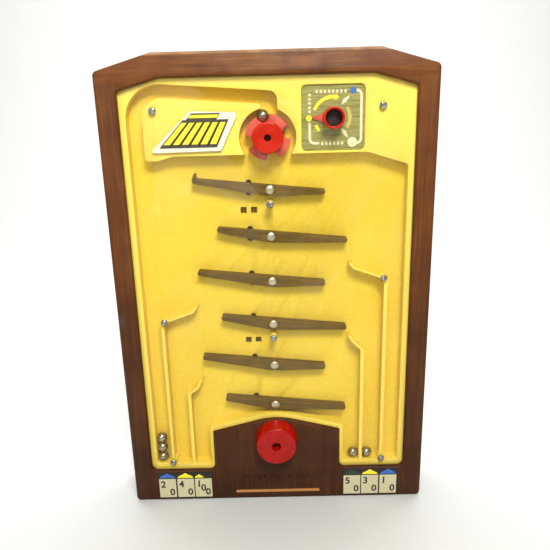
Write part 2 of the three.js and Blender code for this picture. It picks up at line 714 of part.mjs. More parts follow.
function playfield() {
  const flange = plate(insideCorners, floorFront, floorBack);
  const ring = plate(grow(windowCorners, RING_MARGIN), plateau, floorBack);
  const hollows = [
    plate(fieldCorners(), plateau - 1, floorFront),
    plate(headCorners(), plateau - 1, floorFront),
  ];
  const island = plate(islandCorners(), plateau, floorFront + 1);
  const chamber = rod(FEEDER_X, feederZ, chamberRadius, plateau - 1, floorFront, 40);
  const posts = fieldScrews.map(([x, z]) => rod(x, z, POST_RADIUS, plateau, floorFront + 1, 10));
  const body = join(
    cut(join(cut(join(flange, ring), hollows), island), chamber),
    dividerWalls(), posts, barGuides(),
  );

  const slots = pivotZ.map((z) => plate(
    box(-DRIVE_ARM - SLOT_WIDTH / 2, -DRIVE_ARM + SLOT_WIDTH / 2,
      z + SLOT_RISE - SLOT_HEIGHT / 2, z + SLOT_RISE + SLOT_HEIGHT / 2, SLOT_WIDTH / 2 - 0.01),
    floorFront - 1, floorBack + 1,
  ));
  const through = [
    ...pivotZ.map((z) => [0, z, PIVOT_RADIUS, 12]),
    ...bosses.map(([x, z]) => [x, z, SCREW_SHANK, 6]),
    [FEEDER_X, feederZ, ARBOR_RADIUS, 12],
    [0, STEER_Z, STEER_SHAFT, 12],
  ].map(([x, z, radius, sides]) => rod(x, z, radius + FIT_GAP, floorFront - 1, floorBack + 1, sides));
  const hollowed = cut(
    body, slots, guideWindows(), through, plateauPockets(),
    plate(dialCorners(SLIDE_GAP), plateau - 1, plateau + DIAL_RECESS),
    coverScrews.map(([x, z]) => rod(x, z, pilotRadius, plateau - 1, floorFront - 1, 6)),
    rod(speedX, speedZ, SPINDLE_RADIUS + FIT_GAP, plateau, floorBack + 1),
  );
  return join(hollowed, pillarSeats(floorBack - 1));
}

function clearCover() {
  const sheet = plate(grow(windowCorners, COVER_LAP), coverFront, coverBack);
  const hole = (x, z, radius, sides) => rod(x, z, radius, coverFront - 1, coverBack + 1, sides);
  return cut(
    sheet,
    coverScrews.map(([x, z]) => hole(x, z, pilotRadius, 8)),
    hole(FEEDER_X, feederZ, FEEDER_KNOB_RADIUS + FEEDER_KNOB_CLEARANCE, 32),
    hole(speedX, speedZ, SPEED_RADIUS + SPEED_CLEARANCE, 24),
  );
}

// ---- beams --------------------------------------------------------------------------------
// Beams lean down to alternate sides; the first one ends in an upturned hook on its left.
function beam(index) {
  const leftLong = index % 2 === 0;
  const left = leftLong ? -beamLong : -beamShort;
  const right = leftLong ? beamShort : beamLong;
  const low = BEAM_TOP - BEAM_END_HEIGHT;
  const middle = BEAM_TOP - BEAM_MIDDLE_HEIGHT;
  const leftEnd = index === 0
    ? [[left + BEAM_HOOK_FOOT, BEAM_TOP, 1], [left + BEAM_HOOK_FOOT - 1, BEAM_TOP + BEAM_HOOK_HEIGHT, 0.6],
      [left, BEAM_TOP, 2]]
    : [[left, BEAM_TOP, 1.5]];
  const profile = [
    [left, low, 1.8], [-BEAM_HUB, middle, 6], [BEAM_HUB, middle, 6], [right, low, 1.8],
    [right, BEAM_TOP, 1.5], ...leftEnd,
  ];
  const z = pivotZ[index];
  const pinX = -DRIVE_ARM * Math.cos(restTilt);
  const bar = plate(tilted(profile, 0, z, -restTilt), beamFront, floorFront - BEAM_FLOOR_GAP);
  const pin = rod(pinX, z + barRise, PIN_RADIUS, floorFront - 2, barBack - 0.2, 8);
  return cut(join(bar, pin), rod(0, z, PIVOT_RADIUS + FIT_GAP, beamFront - 1, floorFront, 12));
}

function pivotPin(z) {
  const crown = coverBack + 0.4;
  const under = beamFront - FIT_GAP;
  return turned([
    [0, crown], [PIVOT_HEAD_RADIUS * 0.6, crown + 0.3], [PIVOT_HEAD_RADIUS * 0.92, crown + 1.1],
    [PIVOT_HEAD_RADIUS, under], [PIVOT_RADIUS, under], [PIVOT_RADIUS, barBack - 1], [0, barBack],
  ], 0, z, 10);
}

// The bar takes every beam's pin in a slot, and the crank's pin in the slot of its foot.
function driveBar() {
  const half = BAR_WIDTH / 2;
  const middle = STEER_Z + barRise;
  const grip = PIN_RADIUS + PIN_GAP;
  const pinSlot = (long, short, z, front, back) => (
    plate(box(-long - grip, -short + grip, z - grip, z + grip, PIN_RADIUS), front - 1, back + 1));
  const beamSlots = pivotZ.map((z) => (
    pinSlot(DRIVE_ARM, DRIVE_ARM * Math.cos(tiltLimit), z + barRise, barFront, barBack)));
  const crankSlot = pinSlot(crankRadius, crankRadius * Math.cos(radians(STEER_LIMIT)), middle,
    footFront, footBack);
  const strip = box(barX - half, barX + half, middle - half, pivotZ[0] + barRise + half, BAR_CORNER);
  const step = box(barX - half, barX + half, middle - half, middle + half, BAR_CORNER);
  const foot = box(barX - half, 1, middle - half, middle + half, BAR_CORNER);
  return cut(
    join(plate(strip, barFront, barBack), plate(step, barFront, footBack), plate(foot, footFront, footBack)),
    crankSlot, beamSlots,
  );
}

// ---- steering -----------------------------------------------------------------------------
function steeringKnob() {
  const front = STEER_BASE_RADIUS - STEER_TAPER;
  const body = turned([
    [0, steerFront], [front - KNOB_EDGE, steerFront], [front, steerFront + KNOB_EDGE],
    [STEER_BASE_RADIUS - 0.3, -STEER_GAP - 2], [STEER_BASE_RADIUS, -STEER_GAP], [0, -STEER_GAP],
  ], 0, STEER_Z, 32);
  return cut(
    body,
    rod(0, STEER_Z, STEER_HOLE, steerFront - 1, steerSeat, 20),
    rod(0, STEER_Z, pilotRadius, steerSeat - 1, 0, 8),
    rod(0, STEER_Z, STEER_SHAFT + FIT_GAP, steerSocket, 1),
  );
}

function steeringCrank() {
  const x = -crankRadius * Math.cos(crankRest);
  const z = STEER_Z + crankRadius * Math.sin(crankRest);
  return cut(
    join(
      rod(0, STEER_Z, STEER_SHAFT, steerSocket + FIT_GAP, crankBack - 0.5),
      rod(0, STEER_Z, CRANK_DISC, barFront, crankBack, 24),
      rod(x, z, PIN_RADIUS, crankBack - 1, footBack, 12),
    ),
    rod(0, STEER_Z, pilotRadius, steerSocket, steerSeat + STEER_SCREW_GRIP + BORE_RELIEF, 8),
  );
}

// ---- feeder -------------------------------------------------------------------------------
function feederWheel() {
  const front = knobBack + FIT_GAP;
  const pockets = Array.from({ length: POCKET_COUNT }, (_, i) => {
    const angle = pocketAngle + (i * 2 * Math.PI) / POCKET_COUNT;
    const x = FEEDER_X + pocketCentre * Math.cos(angle);
    return rod(x, feederZ + pocketCentre * Math.sin(angle), pocketRadius, front - 1, floorFront, 16);
  });
  return cut(
    rod(FEEDER_X, feederZ, WHEEL_RADIUS, front, floorFront - WHEEL_FLOOR_GAP, 32),
    pockets,
    rod(FEEDER_X, feederZ, ARBOR_RADIUS + FIT_GAP, front - 1, floorFront),
  );
}

function feederKnob() {
  const front = -FEEDER_KNOB_PROUD;
  const body = turned([
    [0, front], [FEEDER_KNOB_RADIUS - KNOB_EDGE, front], [FEEDER_KNOB_RADIUS, front + KNOB_EDGE],
    [FEEDER_KNOB_RADIUS, knobBack], [0, knobBack],
  ], FEEDER_X, feederZ, 28);
  return cut(
    body,
    rod(FEEDER_X, feederZ, FEEDER_HOLE, front - 1, knobSeat, 20),
    rod(FEEDER_X, feederZ, SMALL_SHANK + FIT_GAP, knobSeat - 1, knobBack + 1, 8),
    rod(FEEDER_X, feederZ, ARBOR_RADIUS + FIT_GAP, knobSocket, knobBack + 1),
  );
}

function feederArbor() {
  const boreEnd = knobSeat + FEEDER_SCREW_GRIP + BORE_RELIEF;
  return cut(
    rod(FEEDER_X, feederZ, ARBOR_RADIUS, knobSocket + FIT_GAP, motorBack + MOTOR_PLATE),
    rod(FEEDER_X, feederZ, SMALL_SHANK + FIT_GAP, knobSocket, boreEnd, 8),
  );
}

// ---- speed dial ---------------------------------------------------------------------------
function dialCorners(clearance) {
  return grow(box(speedX - DIAL_WIDTH / 2, speedX + DIAL_WIDTH / 2,
    speedZ - DIAL_HEIGHT / 2, speedZ + DIAL_HEIGHT / 2, DIAL_CORNER), clearance);
}

function speedKnob() {
  const back = coverBack + 0.2;
  const front = -SPEED_PROUD;
  return cut(
    join(
      turned([
        [0, front], [SPEED_RADIUS - 0.5, front], [SPEED_RADIUS, front + 0.5], [SPEED_RADIUS, back], [0, back],
      ], speedX, speedZ, 24),
      rod(speedX, speedZ, SPINDLE_RADIUS, back - 1, motorBack + MOTOR_PLATE, 12),
    ),
    rod(speedX, speedZ, SPEED_RADIUS - SPEED_WALL, front - 1, back - SPEED_BASE, 20),
  );
}

function speedPointer() {
  const front = coverBack + SLIDE_GAP;
  const back = front + POINTER_THICKNESS;
  const root = speedX - SPEED_RADIUS + 2;
  const tip = [
    [speedX - POINTER_LENGTH, speedZ - POINTER_TIP], [root, speedZ - POINTER_ROOT],
    [root, speedZ + POINTER_ROOT], [speedX - POINTER_LENGTH, speedZ + POINTER_TIP],
  ];
  return cut(
    join(rod(speedX, speedZ, SPEED_RADIUS - 0.2, front, back, 16), plate(tip, front, back)),
    rod(speedX, speedZ, SPINDLE_RADIUS + FIT_GAP, front - 1, back + 1),
  );
}

function dialPlate() {
  const back = plateau + DIAL_RECESS - FIT_GAP;
  return cut(
    plate(dialCorners(0), back - LABEL_THICKNESS, back),
    rod(speedX, speedZ, SPINDLE_RADIUS + FIT_GAP, back - 1, back + 1),
  );
}

// The cam's radius grows by twice the lift over the dial's travel, so the lever moves evenly.
function speedCam() {
  const corners = [];
  const travel = 2 * SPEED_TURN;
  for (let angle = 0; angle < 360; angle += CAM_STEP) {
    const share = angle <= travel ? angle / travel : (360 - angle) / (360 - travel);
    const radius = CAM_RADIUS + CAM_LIFT * (2 * share - 1);
    const direction = radians(angle - SPEED_TURN - 90);
    corners.push([speedX + radius * Math.cos(direction), speedZ + radius * Math.sin(direction)]);
  }
  return cut(
    plate(corners, brakeDepth, brakeDepth + LEVER_THICKNESS),
    rod(speedX, speedZ, SPINDLE_RADIUS + FIT_GAP, brakeDepth - 1, brakeDepth + LEVER_THICKNESS + 1),
  );
}

function brakeLever() {
  const back = brakeDepth + LEVER_THICKNESS;
  return cut(
    join(
      plate(box(leverEndX, leverPivotX, leverLow, leverLow + LEVER_HEIGHT, 1), brakeDepth, back),
      rod(leverPivotX, leverZ, LEVER_EYE, brakeDepth, back),
    ),
    rod(leverPivotX, leverZ, STAFF_RADIUS + FIT_GAP, brakeDepth - 1, back + 1, 12),
  );
}

// ---- clockwork ----------------------------------------------------------------------------
const motorCorners = box(motorLeft, motorRight, motorLow, motorHigh, 4);

function motorPlateWithHoles(front) {
  const back = front + MOTOR_PLATE;
  const holes = [
    [FEEDER_X, feederZ, ARBOR_RADIUS], [secondX, feederZ, STAFF_RADIUS],
    [governorX, feederZ, STAFF_RADIUS], [speedX, speedZ, SPINDLE_RADIUS],
  ].map(([x, z, radius]) => rod(x, z, radius + FIT_GAP, front - 1, back + 1, 10));
  return cut(plate(motorCorners, front, back), holes);
}

function motorFrontPlate() {
  const studs = pillars.map(([x, z]) => (
    rod(x, z, PILLAR_RADIUS, motorInside - 0.5, motorRear - FIT_GAP, 8)));
  const leverEnd = brakeDepth + LEVER_THICKNESS + 1;
  const leverStud = rod(leverPivotX, leverZ, STAFF_RADIUS, motorInside - 0.5, leverEnd, 10);
  return join(motorPlateWithHoles(motorFront), studs, leverStud);
}

function motorRearPlate() {
  const x = FEEDER_X - SPRING_RADIUS - SPRING_STRIP - SPRING_POST;
  return join(motorPlateWithHoles(motorRear), rod(x, feederZ, SPRING_POST, brakeDepth, motorRear + 0.5, 10));
}

function greatWheel() {
  const back = firstMesh + GEAR_THICKNESS;
  return cut(
    gear(FEEDER_X, feederZ, WHEEL_TEETH, 0, firstMesh, back),
    rod(FEEDER_X, feederZ, ARBOR_RADIUS + FIT_GAP, firstMesh - 1, back + 1, 12),
  );
}

function staff(x) {
  return rod(x, feederZ, STAFF_RADIUS, motorFront - STAFF_END, motorBack + STAFF_END, 10);
}

function pinion(x, depth) {
  return gear(x, feederZ, PINION_TEETH, meshTurn, depth - PINION_OVERHANG,
    depth + GEAR_THICKNESS + PINION_OVERHANG);
}

function secondWheel() {
  return join(
    staff(secondX), pinion(secondX, firstMesh),
    gear(secondX, feederZ, WHEEL_TEETH, 0, secondMesh, secondMesh + GEAR_THICKNESS),
  );
}

function governor() {
  const rotor = box(governorX - ROTOR_HALF, governorX + ROTOR_HALF,
    feederZ - ROTOR_HALF_WIDTH, feederZ + ROTOR_HALF_WIDTH, ROTOR_HALF_WIDTH - 0.1);
  return join(
    staff(governorX), pinion(governorX, secondMesh),
    rod(governorX, feederZ, DRUM_RADIUS, brakeDepth - FIT_GAP, brakeDepth + LEVER_THICKNESS + FIT_GAP, 16),
    plate(rotor, rotorFront, rotorFront + ROTOR_THICKNESS),
  );
}

// A flat strip coiled about the arbor, from its inner end to the post on the rear plate.
function mainspring() {
  const steps = 12 * SPRING_TURNS;
  const inner = ARBOR_RADIUS + SPRING_STRIP;
  const spiral = (offset) => Array.from({ length: steps + 1 }, (_, i) => {
    const share = i / steps;
    const angle = Math.PI + 2 * Math.PI * SPRING_TURNS * (share - 1);
    const radius = inner + (SPRING_RADIUS - inner) * share + offset;
    return [FEEDER_X + radius * Math.cos(angle), feederZ + radius * Math.sin(angle)];
  });
  const outside = spiral(SPRING_STRIP / 2);
  const inside = spiral(-SPRING_STRIP / 2).reverse();
  return plate([...outside, ...inside], brakeDepth, springBack);
}

// ---- balls and labels ---------------------------------------------------------------------
function ballPlaces() {
  const radius = BALL_DIAMETER / 2;
  const low = fieldBottom + radius + FIT_GAP;
  const stack = BALL_DIAMETER + FIT_GAP;
  const left = -wallX + radius + FIT_GAP;
  const beside = DIVIDER_WALL / 2 + radius + FIT_GAP;
  return [
    [left, low], [left, low + stack], [left, low + 2 * stack],
    [innerDividerX - beside, low], [innerDividerX + beside, low],
    [FEEDER_X + pocketCentre * Math.cos(pocketAngle), feederZ + pocketCentre * Math.sin(pocketAngle)],
  ];
}

function ball(x, z) {
  const geometry = new THREE.SphereGeometry(BALL_DIAMETER / 2, 12, 8);
  geometry.rotateX(Math.PI / 2);
  geometry.translate(x, FRONT_Y + ballDepth, z);
  return solid(geometry);
}

function titleLabel() {
  const left = -(windowHalf - TITLE_INSET);
  const right = FEEDER_X - TITLE_GAP;
  const low = plateauEdge + TITLE_RISE;
  const high = low + TITLE_HEIGHT;
  const corners = [
    [left, low, 2], [right - TITLE_LEAN, low + TITLE_TILT, 2],
    [right, high - TITLE_TILT, 3], [right - TITLE_TOP, high + TITLE_TILT, 3],
  ];
  const back = coverFront - FIT_GAP;
  return plate(corners, back - LABEL_THICKNESS, back);
}

function scoreLabel(side) {
  const ends = [side * (apronHalf + SCORE_INSIDE), side * (wallX - SCORE_OUTSIDE)];
  const corners = box(Math.min(...ends), Math.max(...ends), SCORE_LOW, FRAME_BOTTOM - SCORE_TOP_GAP, 1);
  return plate(corners, -FIT_GAP - LABEL_THICKNESS, -FIT_GAP);
}

// ---- assembly -----------------------------------------------------------------------------
add('front_case', frontCase(), 'brown');
add('rear_cover', rearCover(), 'brown');
add('playfield', playfield(), 'yellow');
add('clear_cover', clearCover(), 'clear');
pivotZ.forEach((z, i) => {
  add(`rocker_beam_${i + 1}`, beam(i), 'olive');
  add(`pivot_pin_${i + 1}`, pivotPin(z), 'nickel');
});
add('drive_bar', driveBar(), 'olive');
add('steering_knob', steeringKnob(), 'red');
add('steering_crank', steeringCrank(), 'nickel');
add('steering_screw', screw(0, STEER_Z, steerSeat, steerSeat + STEER_SCREW_GRIP), 'steel');
add('feeder_wheel', feederWheel(), 'red');
add('feeder_knob', feederKnob(), 'red');
add('feeder_arbor', feederArbor(), 'steel');
add('feeder_screw',
  screw(FEEDER_X, feederZ, knobSeat, knobSeat + FEEDER_SCREW_GRIP, SMALL_HEAD, SMALL_SHANK), 'steel');
add('speed_knob', speedKnob(), 'red');
add('speed_pointer', speedPointer(), 'red');
add('speed_cam', speedCam(), 'nickel');
add('dial_plate', dialPlate(), 'printed');
add('title_label', titleLabel(), 'paper');
add('score_label_left', scoreLabel(-1), 'paper');
add('score_label_right', scoreLabel(1), 'paper');
ballPlaces().forEach(([x, z], i) => {
  add(`steel_ball_${i + 1}`, ball(x, z), 'steel');
});
coverScrews.forEach(([x, z], i) => {
  add(`cover_screw_${i + 1}`, screw(x, z, coverFront, floorFront - SCREW_POINT), 'steel');
});
bosses.forEach(([x, z], i) => {
  add(`rear_screw_${i + 1}`, screw(x, z, tubeSeat, bossPilotFront + 1), 'steel');
});
add('motor_front_plate', motorFrontPlate(), 'steel');
add('motor_rear_plate', motorRearPlate(), 'steel');
add('great_wheel', greatWheel(), 'brass');
add('second_wheel', secondWheel(), 'brass');
add('governor', governor(), 'brass');
add('mainspring', mainspring(), 'steel');
add('brake_lever', brakeLever(), 'nickel');

export default group;
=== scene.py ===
import json
import math

import bmesh
import bpy
import numpy as np
from mathutils import Euler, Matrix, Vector


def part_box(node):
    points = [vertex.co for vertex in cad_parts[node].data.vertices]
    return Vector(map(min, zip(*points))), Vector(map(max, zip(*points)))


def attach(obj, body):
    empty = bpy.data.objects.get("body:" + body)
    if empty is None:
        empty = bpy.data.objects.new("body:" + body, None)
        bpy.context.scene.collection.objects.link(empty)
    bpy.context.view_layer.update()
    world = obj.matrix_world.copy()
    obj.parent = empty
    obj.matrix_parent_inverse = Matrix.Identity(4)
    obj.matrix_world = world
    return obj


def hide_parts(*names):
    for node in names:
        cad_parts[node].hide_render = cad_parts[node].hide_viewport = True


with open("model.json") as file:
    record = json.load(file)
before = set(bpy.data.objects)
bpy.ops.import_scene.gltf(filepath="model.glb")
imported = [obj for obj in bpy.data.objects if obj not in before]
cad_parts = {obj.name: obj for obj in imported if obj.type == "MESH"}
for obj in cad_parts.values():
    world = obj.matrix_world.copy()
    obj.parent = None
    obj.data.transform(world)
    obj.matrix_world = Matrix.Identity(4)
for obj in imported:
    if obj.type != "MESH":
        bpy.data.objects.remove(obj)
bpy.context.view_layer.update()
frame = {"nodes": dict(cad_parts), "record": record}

# ==== The table, the light and the eye ==========================================================
# A pale seamless table with a curved back, a broad soft lamp overhead and slightly to the right,
# and an eye a little above the toy's middle that looks down at it.
front_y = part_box("front_case")[0].y
camera = bpy.data.objects.new("eye", bpy.data.cameras.new("eye"))
camera.data.lens = 37.3
camera.data.sensor_width = 36.0
camera.location = (0.00751, front_y - 0.56759, 0.43482)
camera.rotation_euler = Euler((math.radians(73.885), math.radians(1.419), math.radians(0.034)))
bpy.context.collection.objects.link(camera)
bpy.context.scene.camera = camera
bpy.context.scene.view_settings.view_transform = "Standard"


def shade(hex_colour):
    """The linear colour, with alpha 1, of an sRGB hex value such as "#E8C85A"."""
    channels = [int(hex_colour[i:i + 2], 16) / 255 for i in (1, 3, 5)]
    return (*[c / 12.92 if c <= 0.04045 else ((c + 0.055) / 1.055) ** 2.4 for c in channels], 1.0)


def add(tree, kind, inputs=None, stops=(), **settings):
    """Adds a node: settings are its own options, inputs are constants, hex colours or links by
    socket name or number, and stops are a colour ramp's (position, hex colour) pairs in order."""
    node = tree.nodes.new(kind)
    for name, value in settings.items():
        setattr(node, name, value)
    for socket, value in (inputs or {}).items():
        if isinstance(value, bpy.types.NodeSocket):
            tree.links.new(value, node.inputs[socket])
        else:
            node.inputs[socket].default_value = shade(value) if isinstance(value, str) else value
    ends_first = [*stops[:1], *stops[-1:], *stops[1:-1]]
    for i, (position, colour) in enumerate(ends_first):
        elements = node.color_ramp.elements
        element = elements[i] if i < 2 else elements.new(position)
        element.position = position
        element.color = shade(colour)
    return node


def new_material(name):
    """An empty material for a slot of the record: the material, its node tree, and the socket that
    gives the point on the piece in metres."""
    material = bpy.data.materials.new(name)
    material.use_nodes = True
    tree = material.node_tree
    tree.nodes.clear()
    return material, tree, add(tree, "ShaderNodeTexCoord").outputs["Object"]


def surface(name, *grids):
    """One mesh from grids of points (rows, columns, 3): four neighbours make each face, and points
    that fall together at a seam or a pole are merged."""
    points = []
    quads = []
    start = 0
    for grid in grids:
        rows, columns = grid.shape[:2]
        index = start + np.arange(rows * columns).reshape(rows, columns)
        corners = [index[:-1, :-1], index[:-1, 1:], index[1:, 1:], index[1:, :-1]]
        quads.append(np.stack(corners, -1).reshape(-1, 4))
        points.append(grid.reshape(-1, 3))
        start += rows * columns
    mesh = bpy.data.meshes.new(name)
    mesh.from_pydata(np.concatenate(points).tolist(), [], np.concatenate(quads).tolist())
    work = bmesh.new()
    work.from_mesh(mesh)
    bmesh.ops.remove_doubles(work, verts=work.verts, dist=1e-6)
    bmesh.ops.dissolve_degenerate(work, edges=work.edges, dist=1e-7)
    bmesh.ops.recalc_face_normals(work, faces=work.faces)
    work.to_mesh(mesh)
    work.free()
    mesh.shade_smooth()
    piece = bpy.data.objects.new(name, mesh)
    bpy.context.collection.objects.link(piece)
    return piece


def swept_floor():
    """A strip 24 m wide: flat along the table, a quarter circle of 1 m at the back, then upright."""
    reach, bend_start, radius, top = 12.0, 1.0, 1.0, 6.0
    turn = np.linspace(0, math.pi / 2, 25)
    flat = np.array([[-reach, 0.0], [bend_start, 0.0]])
    bend = np.stack([bend_start + radius * np.sin(turn), radius * (1 - np.cos(turn))], 1)
    line = np.concatenate([flat, bend, [[bend_start + radius, top]]])
    grid = np.empty((2, len(line), 3))
    grid[..., 0] = [[-reach], [reach]]
    grid[..., 1:] = line
    return surface("table", grid)


# Matt white-painted board: a faint roller stipple, 1.1 mm across, keeps it from looking like empty
# space.
white_board, tree, place = new_material("white_painted_board")
stipple = add(tree, "ShaderNodeTexNoise", {"Vector": place, "Scale": 1 / 0.0011, "Detail": 2.0})
paint = add(tree, "ShaderNodeValToRGB", {"Fac": stipple.outputs["Fac"]},
            [(0.3, "#BCBCBA"), (0.7, "#C4C4C2")])
shader = add(tree, "ShaderNodeBsdfPrincipled", {
    "Base Color": paint.outputs["Color"],
    "Roughness": 0.75,
    "Normal": add(tree, "ShaderNodeBump", {
        "Height": stipple.outputs["Fac"], "Strength": 0.05, "Distance": 0.0003}).outputs["Normal"],
})
add(tree, "ShaderNodeOutputMaterial", {"Surface": shader.outputs["BSDF"]})
table = swept_floor()
table.data.materials.append(white_board)

# A dim, faintly warm room fills the shadows.
world = bpy.data.worlds.new("soft_room")
bpy.context.scene.world = world
world.use_nodes = True
room = world.node_tree.nodes["Background"]
room.inputs["Color"].default_value = (1.0, 0.99, 0.97, 1.0)
room.inputs["Strength"].default_value = 0.34


def lamp(name, place, aim, width, height, watts, colour):
    """A rectangular soft lamp at a place, turned to face a point."""
    data = bpy.data.lights.new(name, "AREA")
    data.shape = "RECTANGLE"
    data.size = width
    data.size_y = height
    data.energy = watts
    data.color = colour
    light = bpy.data.objects.new(name, data)
    light.location = place
    light.rotation_euler = (Vector(aim) - Vector(place)).to_track_quat("-Z", "Y").to_euler()
    bpy.context.collection.objects.link(light)


lamp("ceiling_lamp", (0.16, -0.85, 1.2), (0, 0, 0.3), 0.42, 0.32, 19, (1.0, 0.985, 0.95))
lamp("window_fill", (-0.5, -1.6, 1.0), (0, 0, 0.25), 1.0, 0.8, 7, (1.0, 0.99, 0.97))
lamp("backdrop_wash", (0.0, 0.6, 2.2), (0, 1.6, 0.4), 2.4, 0.8, 90, (1.0, 1.0, 1.0))

# ==== The brown case ============================================================================
# High-impact polystyrene, injection moulded with streaks of two pigments that look like wood
# grain. Its edges are radiused by the mould, and the front of the top rim carries a painted
# highlight.
body_of = {node: body for body, nodes in frame["record"]["behaviour"]["bodies"].items()
           for node in nodes}


def fit(piece, finish, body, *nodes):
    """Gives a piece its finish and the finish's slot, and says what it rides on and stands for."""
    piece.data.materials.append(finish)
    if nodes:
        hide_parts(*nodes)
    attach(piece, body)


def moulded(node, finish, radius, steps=2):
    """A merged copy of a CAD node whose sharp edges get the small radius that a mould leaves."""
    mesh = frame["nodes"][node].data.copy()
    work = bmesh.new()
    work.from_mesh(mesh)
    bmesh.ops.remove_doubles(work, verts=work.verts, dist=1e-6)
    bmesh.ops.dissolve_limit(work, angle_limit=math.radians(1), verts=work.verts, edges=work.edges)
    work.to_mesh(mesh)
    work.free()
    mesh.materials.clear()
    mesh.shade_smooth()
    piece = bpy.data.objects.new(node + "_moulding", mesh)
    bpy.context.collection.objects.link(piece)
    bevel = piece.modifiers.new("mould_radius", "BEVEL")
    bevel.width = radius
    bevel.segments = steps
    bevel.limit_method = "ANGLE"
    bevel.angle_limit = math.radians(38)
    bevel.harden_normals = True
    fit(piece, finish, body_of[node], node)


# Wood-effect polystyrene: streaks 3.3 mm apart run up the sides and along the top rim, under a weak
# waxy gloss. The colour is darkened towards the foot as painted shade, golden marbling shows at the
# top, the front edge of the top rim carries a painted highlight, the panel's lower bevel is paler and
# one spot on the left edge is rubbed.
polystyrene_ior = 1.59
streak = 0.0033
case_plastic, tree, place = new_material("wood_effect_moulded_polystyrene")
axes = add(tree, "ShaderNodeSeparateXYZ", {"Vector": place})
across, depth, up = (axes.outputs[axis] for axis in "XYZ")
upward = add(tree, "ShaderNodeMapping", {
    "Vector": place, "Scale": (1 / streak, 1 / streak, 1 / 0.071)})
along = add(tree, "ShaderNodeMapping", {
    "Vector": place, "Scale": (1 / 0.062, 1 / streak, 1 / streak)})
side_grain, top_grain = (
    add(tree, "ShaderNodeTexNoise", {"Vector": stretched.outputs["Vector"], "Scale": 1.0,
                                     "Detail": 5.0, "Roughness": 0.6, "Distortion": 0.6})
    for stretched in (upward, along))
on_top = add(tree, "ShaderNodeMapRange", {
    "Value": up, "From Min": 0.455, "From Max": 0.468}, interpolation_type="SMOOTHSTEP")
grain = add(tree, "ShaderNodeMix", {
    "Factor": on_top.outputs["Result"], "A": side_grain.outputs["Fac"],
    "B": top_grain.outputs["Fac"]}, data_type="FLOAT")
cloud = add(tree, "ShaderNodeTexNoise", {"Vector": place, "Scale": 1 / 0.045, "Detail": 3.0})
mottle = add(tree, "ShaderNodeMath", {
    0: grain.outputs["Result"], 1: cloud.outputs["Fac"]}, operation="MULTIPLY")
brown = add(tree, "ShaderNodeValToRGB", {"Fac": mottle.outputs["Value"]},
            [(0.08, "#4A2710"), (0.2, "#5A3317"), (0.32, "#683C1C"), (0.48, "#7C4B25")])
golden = add(tree, "ShaderNodeValToRGB", {"Fac": grain.outputs["Result"]},
             [(0.36, "#54300F"), (0.64, "#865628")])


def between(tree, value, low, high, soft):
    """1 where a value lies from low to high, falling to 0 over `soft` on both sides."""
    rise = add(tree, "ShaderNodeMapRange", {
        "Value": value, "From Min": low - soft, "From Max": low})
    fall = add(tree, "ShaderNodeMapRange", {
        "Value": value, "From Min": high, "From Max": high + soft, "To Min": 1.0, "To Max": 0.0})
    return add(tree, "ShaderNodeMath", {0: rise.outputs["Result"], 1: fall.outputs["Result"]},
               operation="MULTIPLY").outputs["Value"]


def tinted(tree, below, colour, *masks):
    """A colour laid over another where all the masks, multiplied together, are 1. In a Mix node
    set to colours, sockets 6 and 7 take the two colours and socket 2 gives the mix."""
    share = masks[0]
    for mask in masks[1:]:
        share = add(tree, "ShaderNodeMath", {0: share, 1: mask}, operation="MULTIPLY").outputs["Value"]
    return add(tree, "ShaderNodeMix", {"Factor": share, 6: below, 7: colour},
               data_type="RGBA").outputs[2]


patchy = add(tree, "ShaderNodeMapRange", {
    "Value": cloud.outputs["Fac"], "From Min": 0.35, "From Max": 0.6}).outputs["Result"]
# Painted shade: the colour darkens towards the foot, standing in for the light falling off down the
# case.
foot = add(tree, "ShaderNodeMapRange", {
    "Value": up, "From Max": 0.4, "To Min": 0.72, "To Max": 0.0}).outputs["Result"]
wood = tinted(tree, brown.outputs["Color"], "#1C0C05", foot)
# Golden marbling in the middle of the top rim.
wood = tinted(tree, wood, golden.outputs["Color"],
              between(tree, up, 0.474, 0.486, 0.008),
              between(tree, across, -0.040, 0.045, 0.05), patchy)
# The front edge of the top rim, painted pale: a painted highlight on its rounded edge.
wood = tinted(tree, wood, "#9A7654",
              between(tree, up, 0.4878, 0.50, 0.001),
              between(tree, depth, front_y, front_y + 0.0012, 0.0008), patchy)
# The lower bevel of the apron's panel, painted a paler tan.
wood = tinted(tree, wood, "#A9743E",
              between(tree, up, 0.0086, 0.0108, 0.0004),
              between(tree, across, -0.0478, 0.0478, 0.0008),
              between(tree, depth, front_y, front_y + 0.0016, 0.0003))
# A grey rubbed spot half way up the left edge.
wood = tinted(tree, wood, "#4C474E",
              between(tree, up, 0.218, 0.236, 0.006),
              between(tree, across, -0.17, -0.159, 0.003), patchy)
smudge = add(tree, "ShaderNodeTexNoise", {"Vector": place, "Scale": 1 / 0.017, "Detail": 4.0})
polish = add(tree, "ShaderNodeMapRange", {
    "Value": smudge.outputs["Fac"], "From Min": 0.3, "From Max": 0.7, "To Min": 0.34, "To Max": 0.55})
shader = add(tree, "ShaderNodeBsdfPrincipled", {
    "Base Color": wood,
    "Roughness": polish.outputs["Result"],
    "IOR": polystyrene_ior,
    "Specular IOR Level": 0.12,
    "Normal": add(tree, "ShaderNodeBump", {
        "Height": grain.outputs["Result"], "Strength": 0.12, "Distance": 0.0003}).outputs["Normal"],
})
add(tree, "ShaderNodeOutputMaterial", {"Surface": shader.outputs["BSDF"]})
moulded("front_case", case_plastic, 0.0006, 3)
moulded("rear_cover", case_plastic, 0.0004)


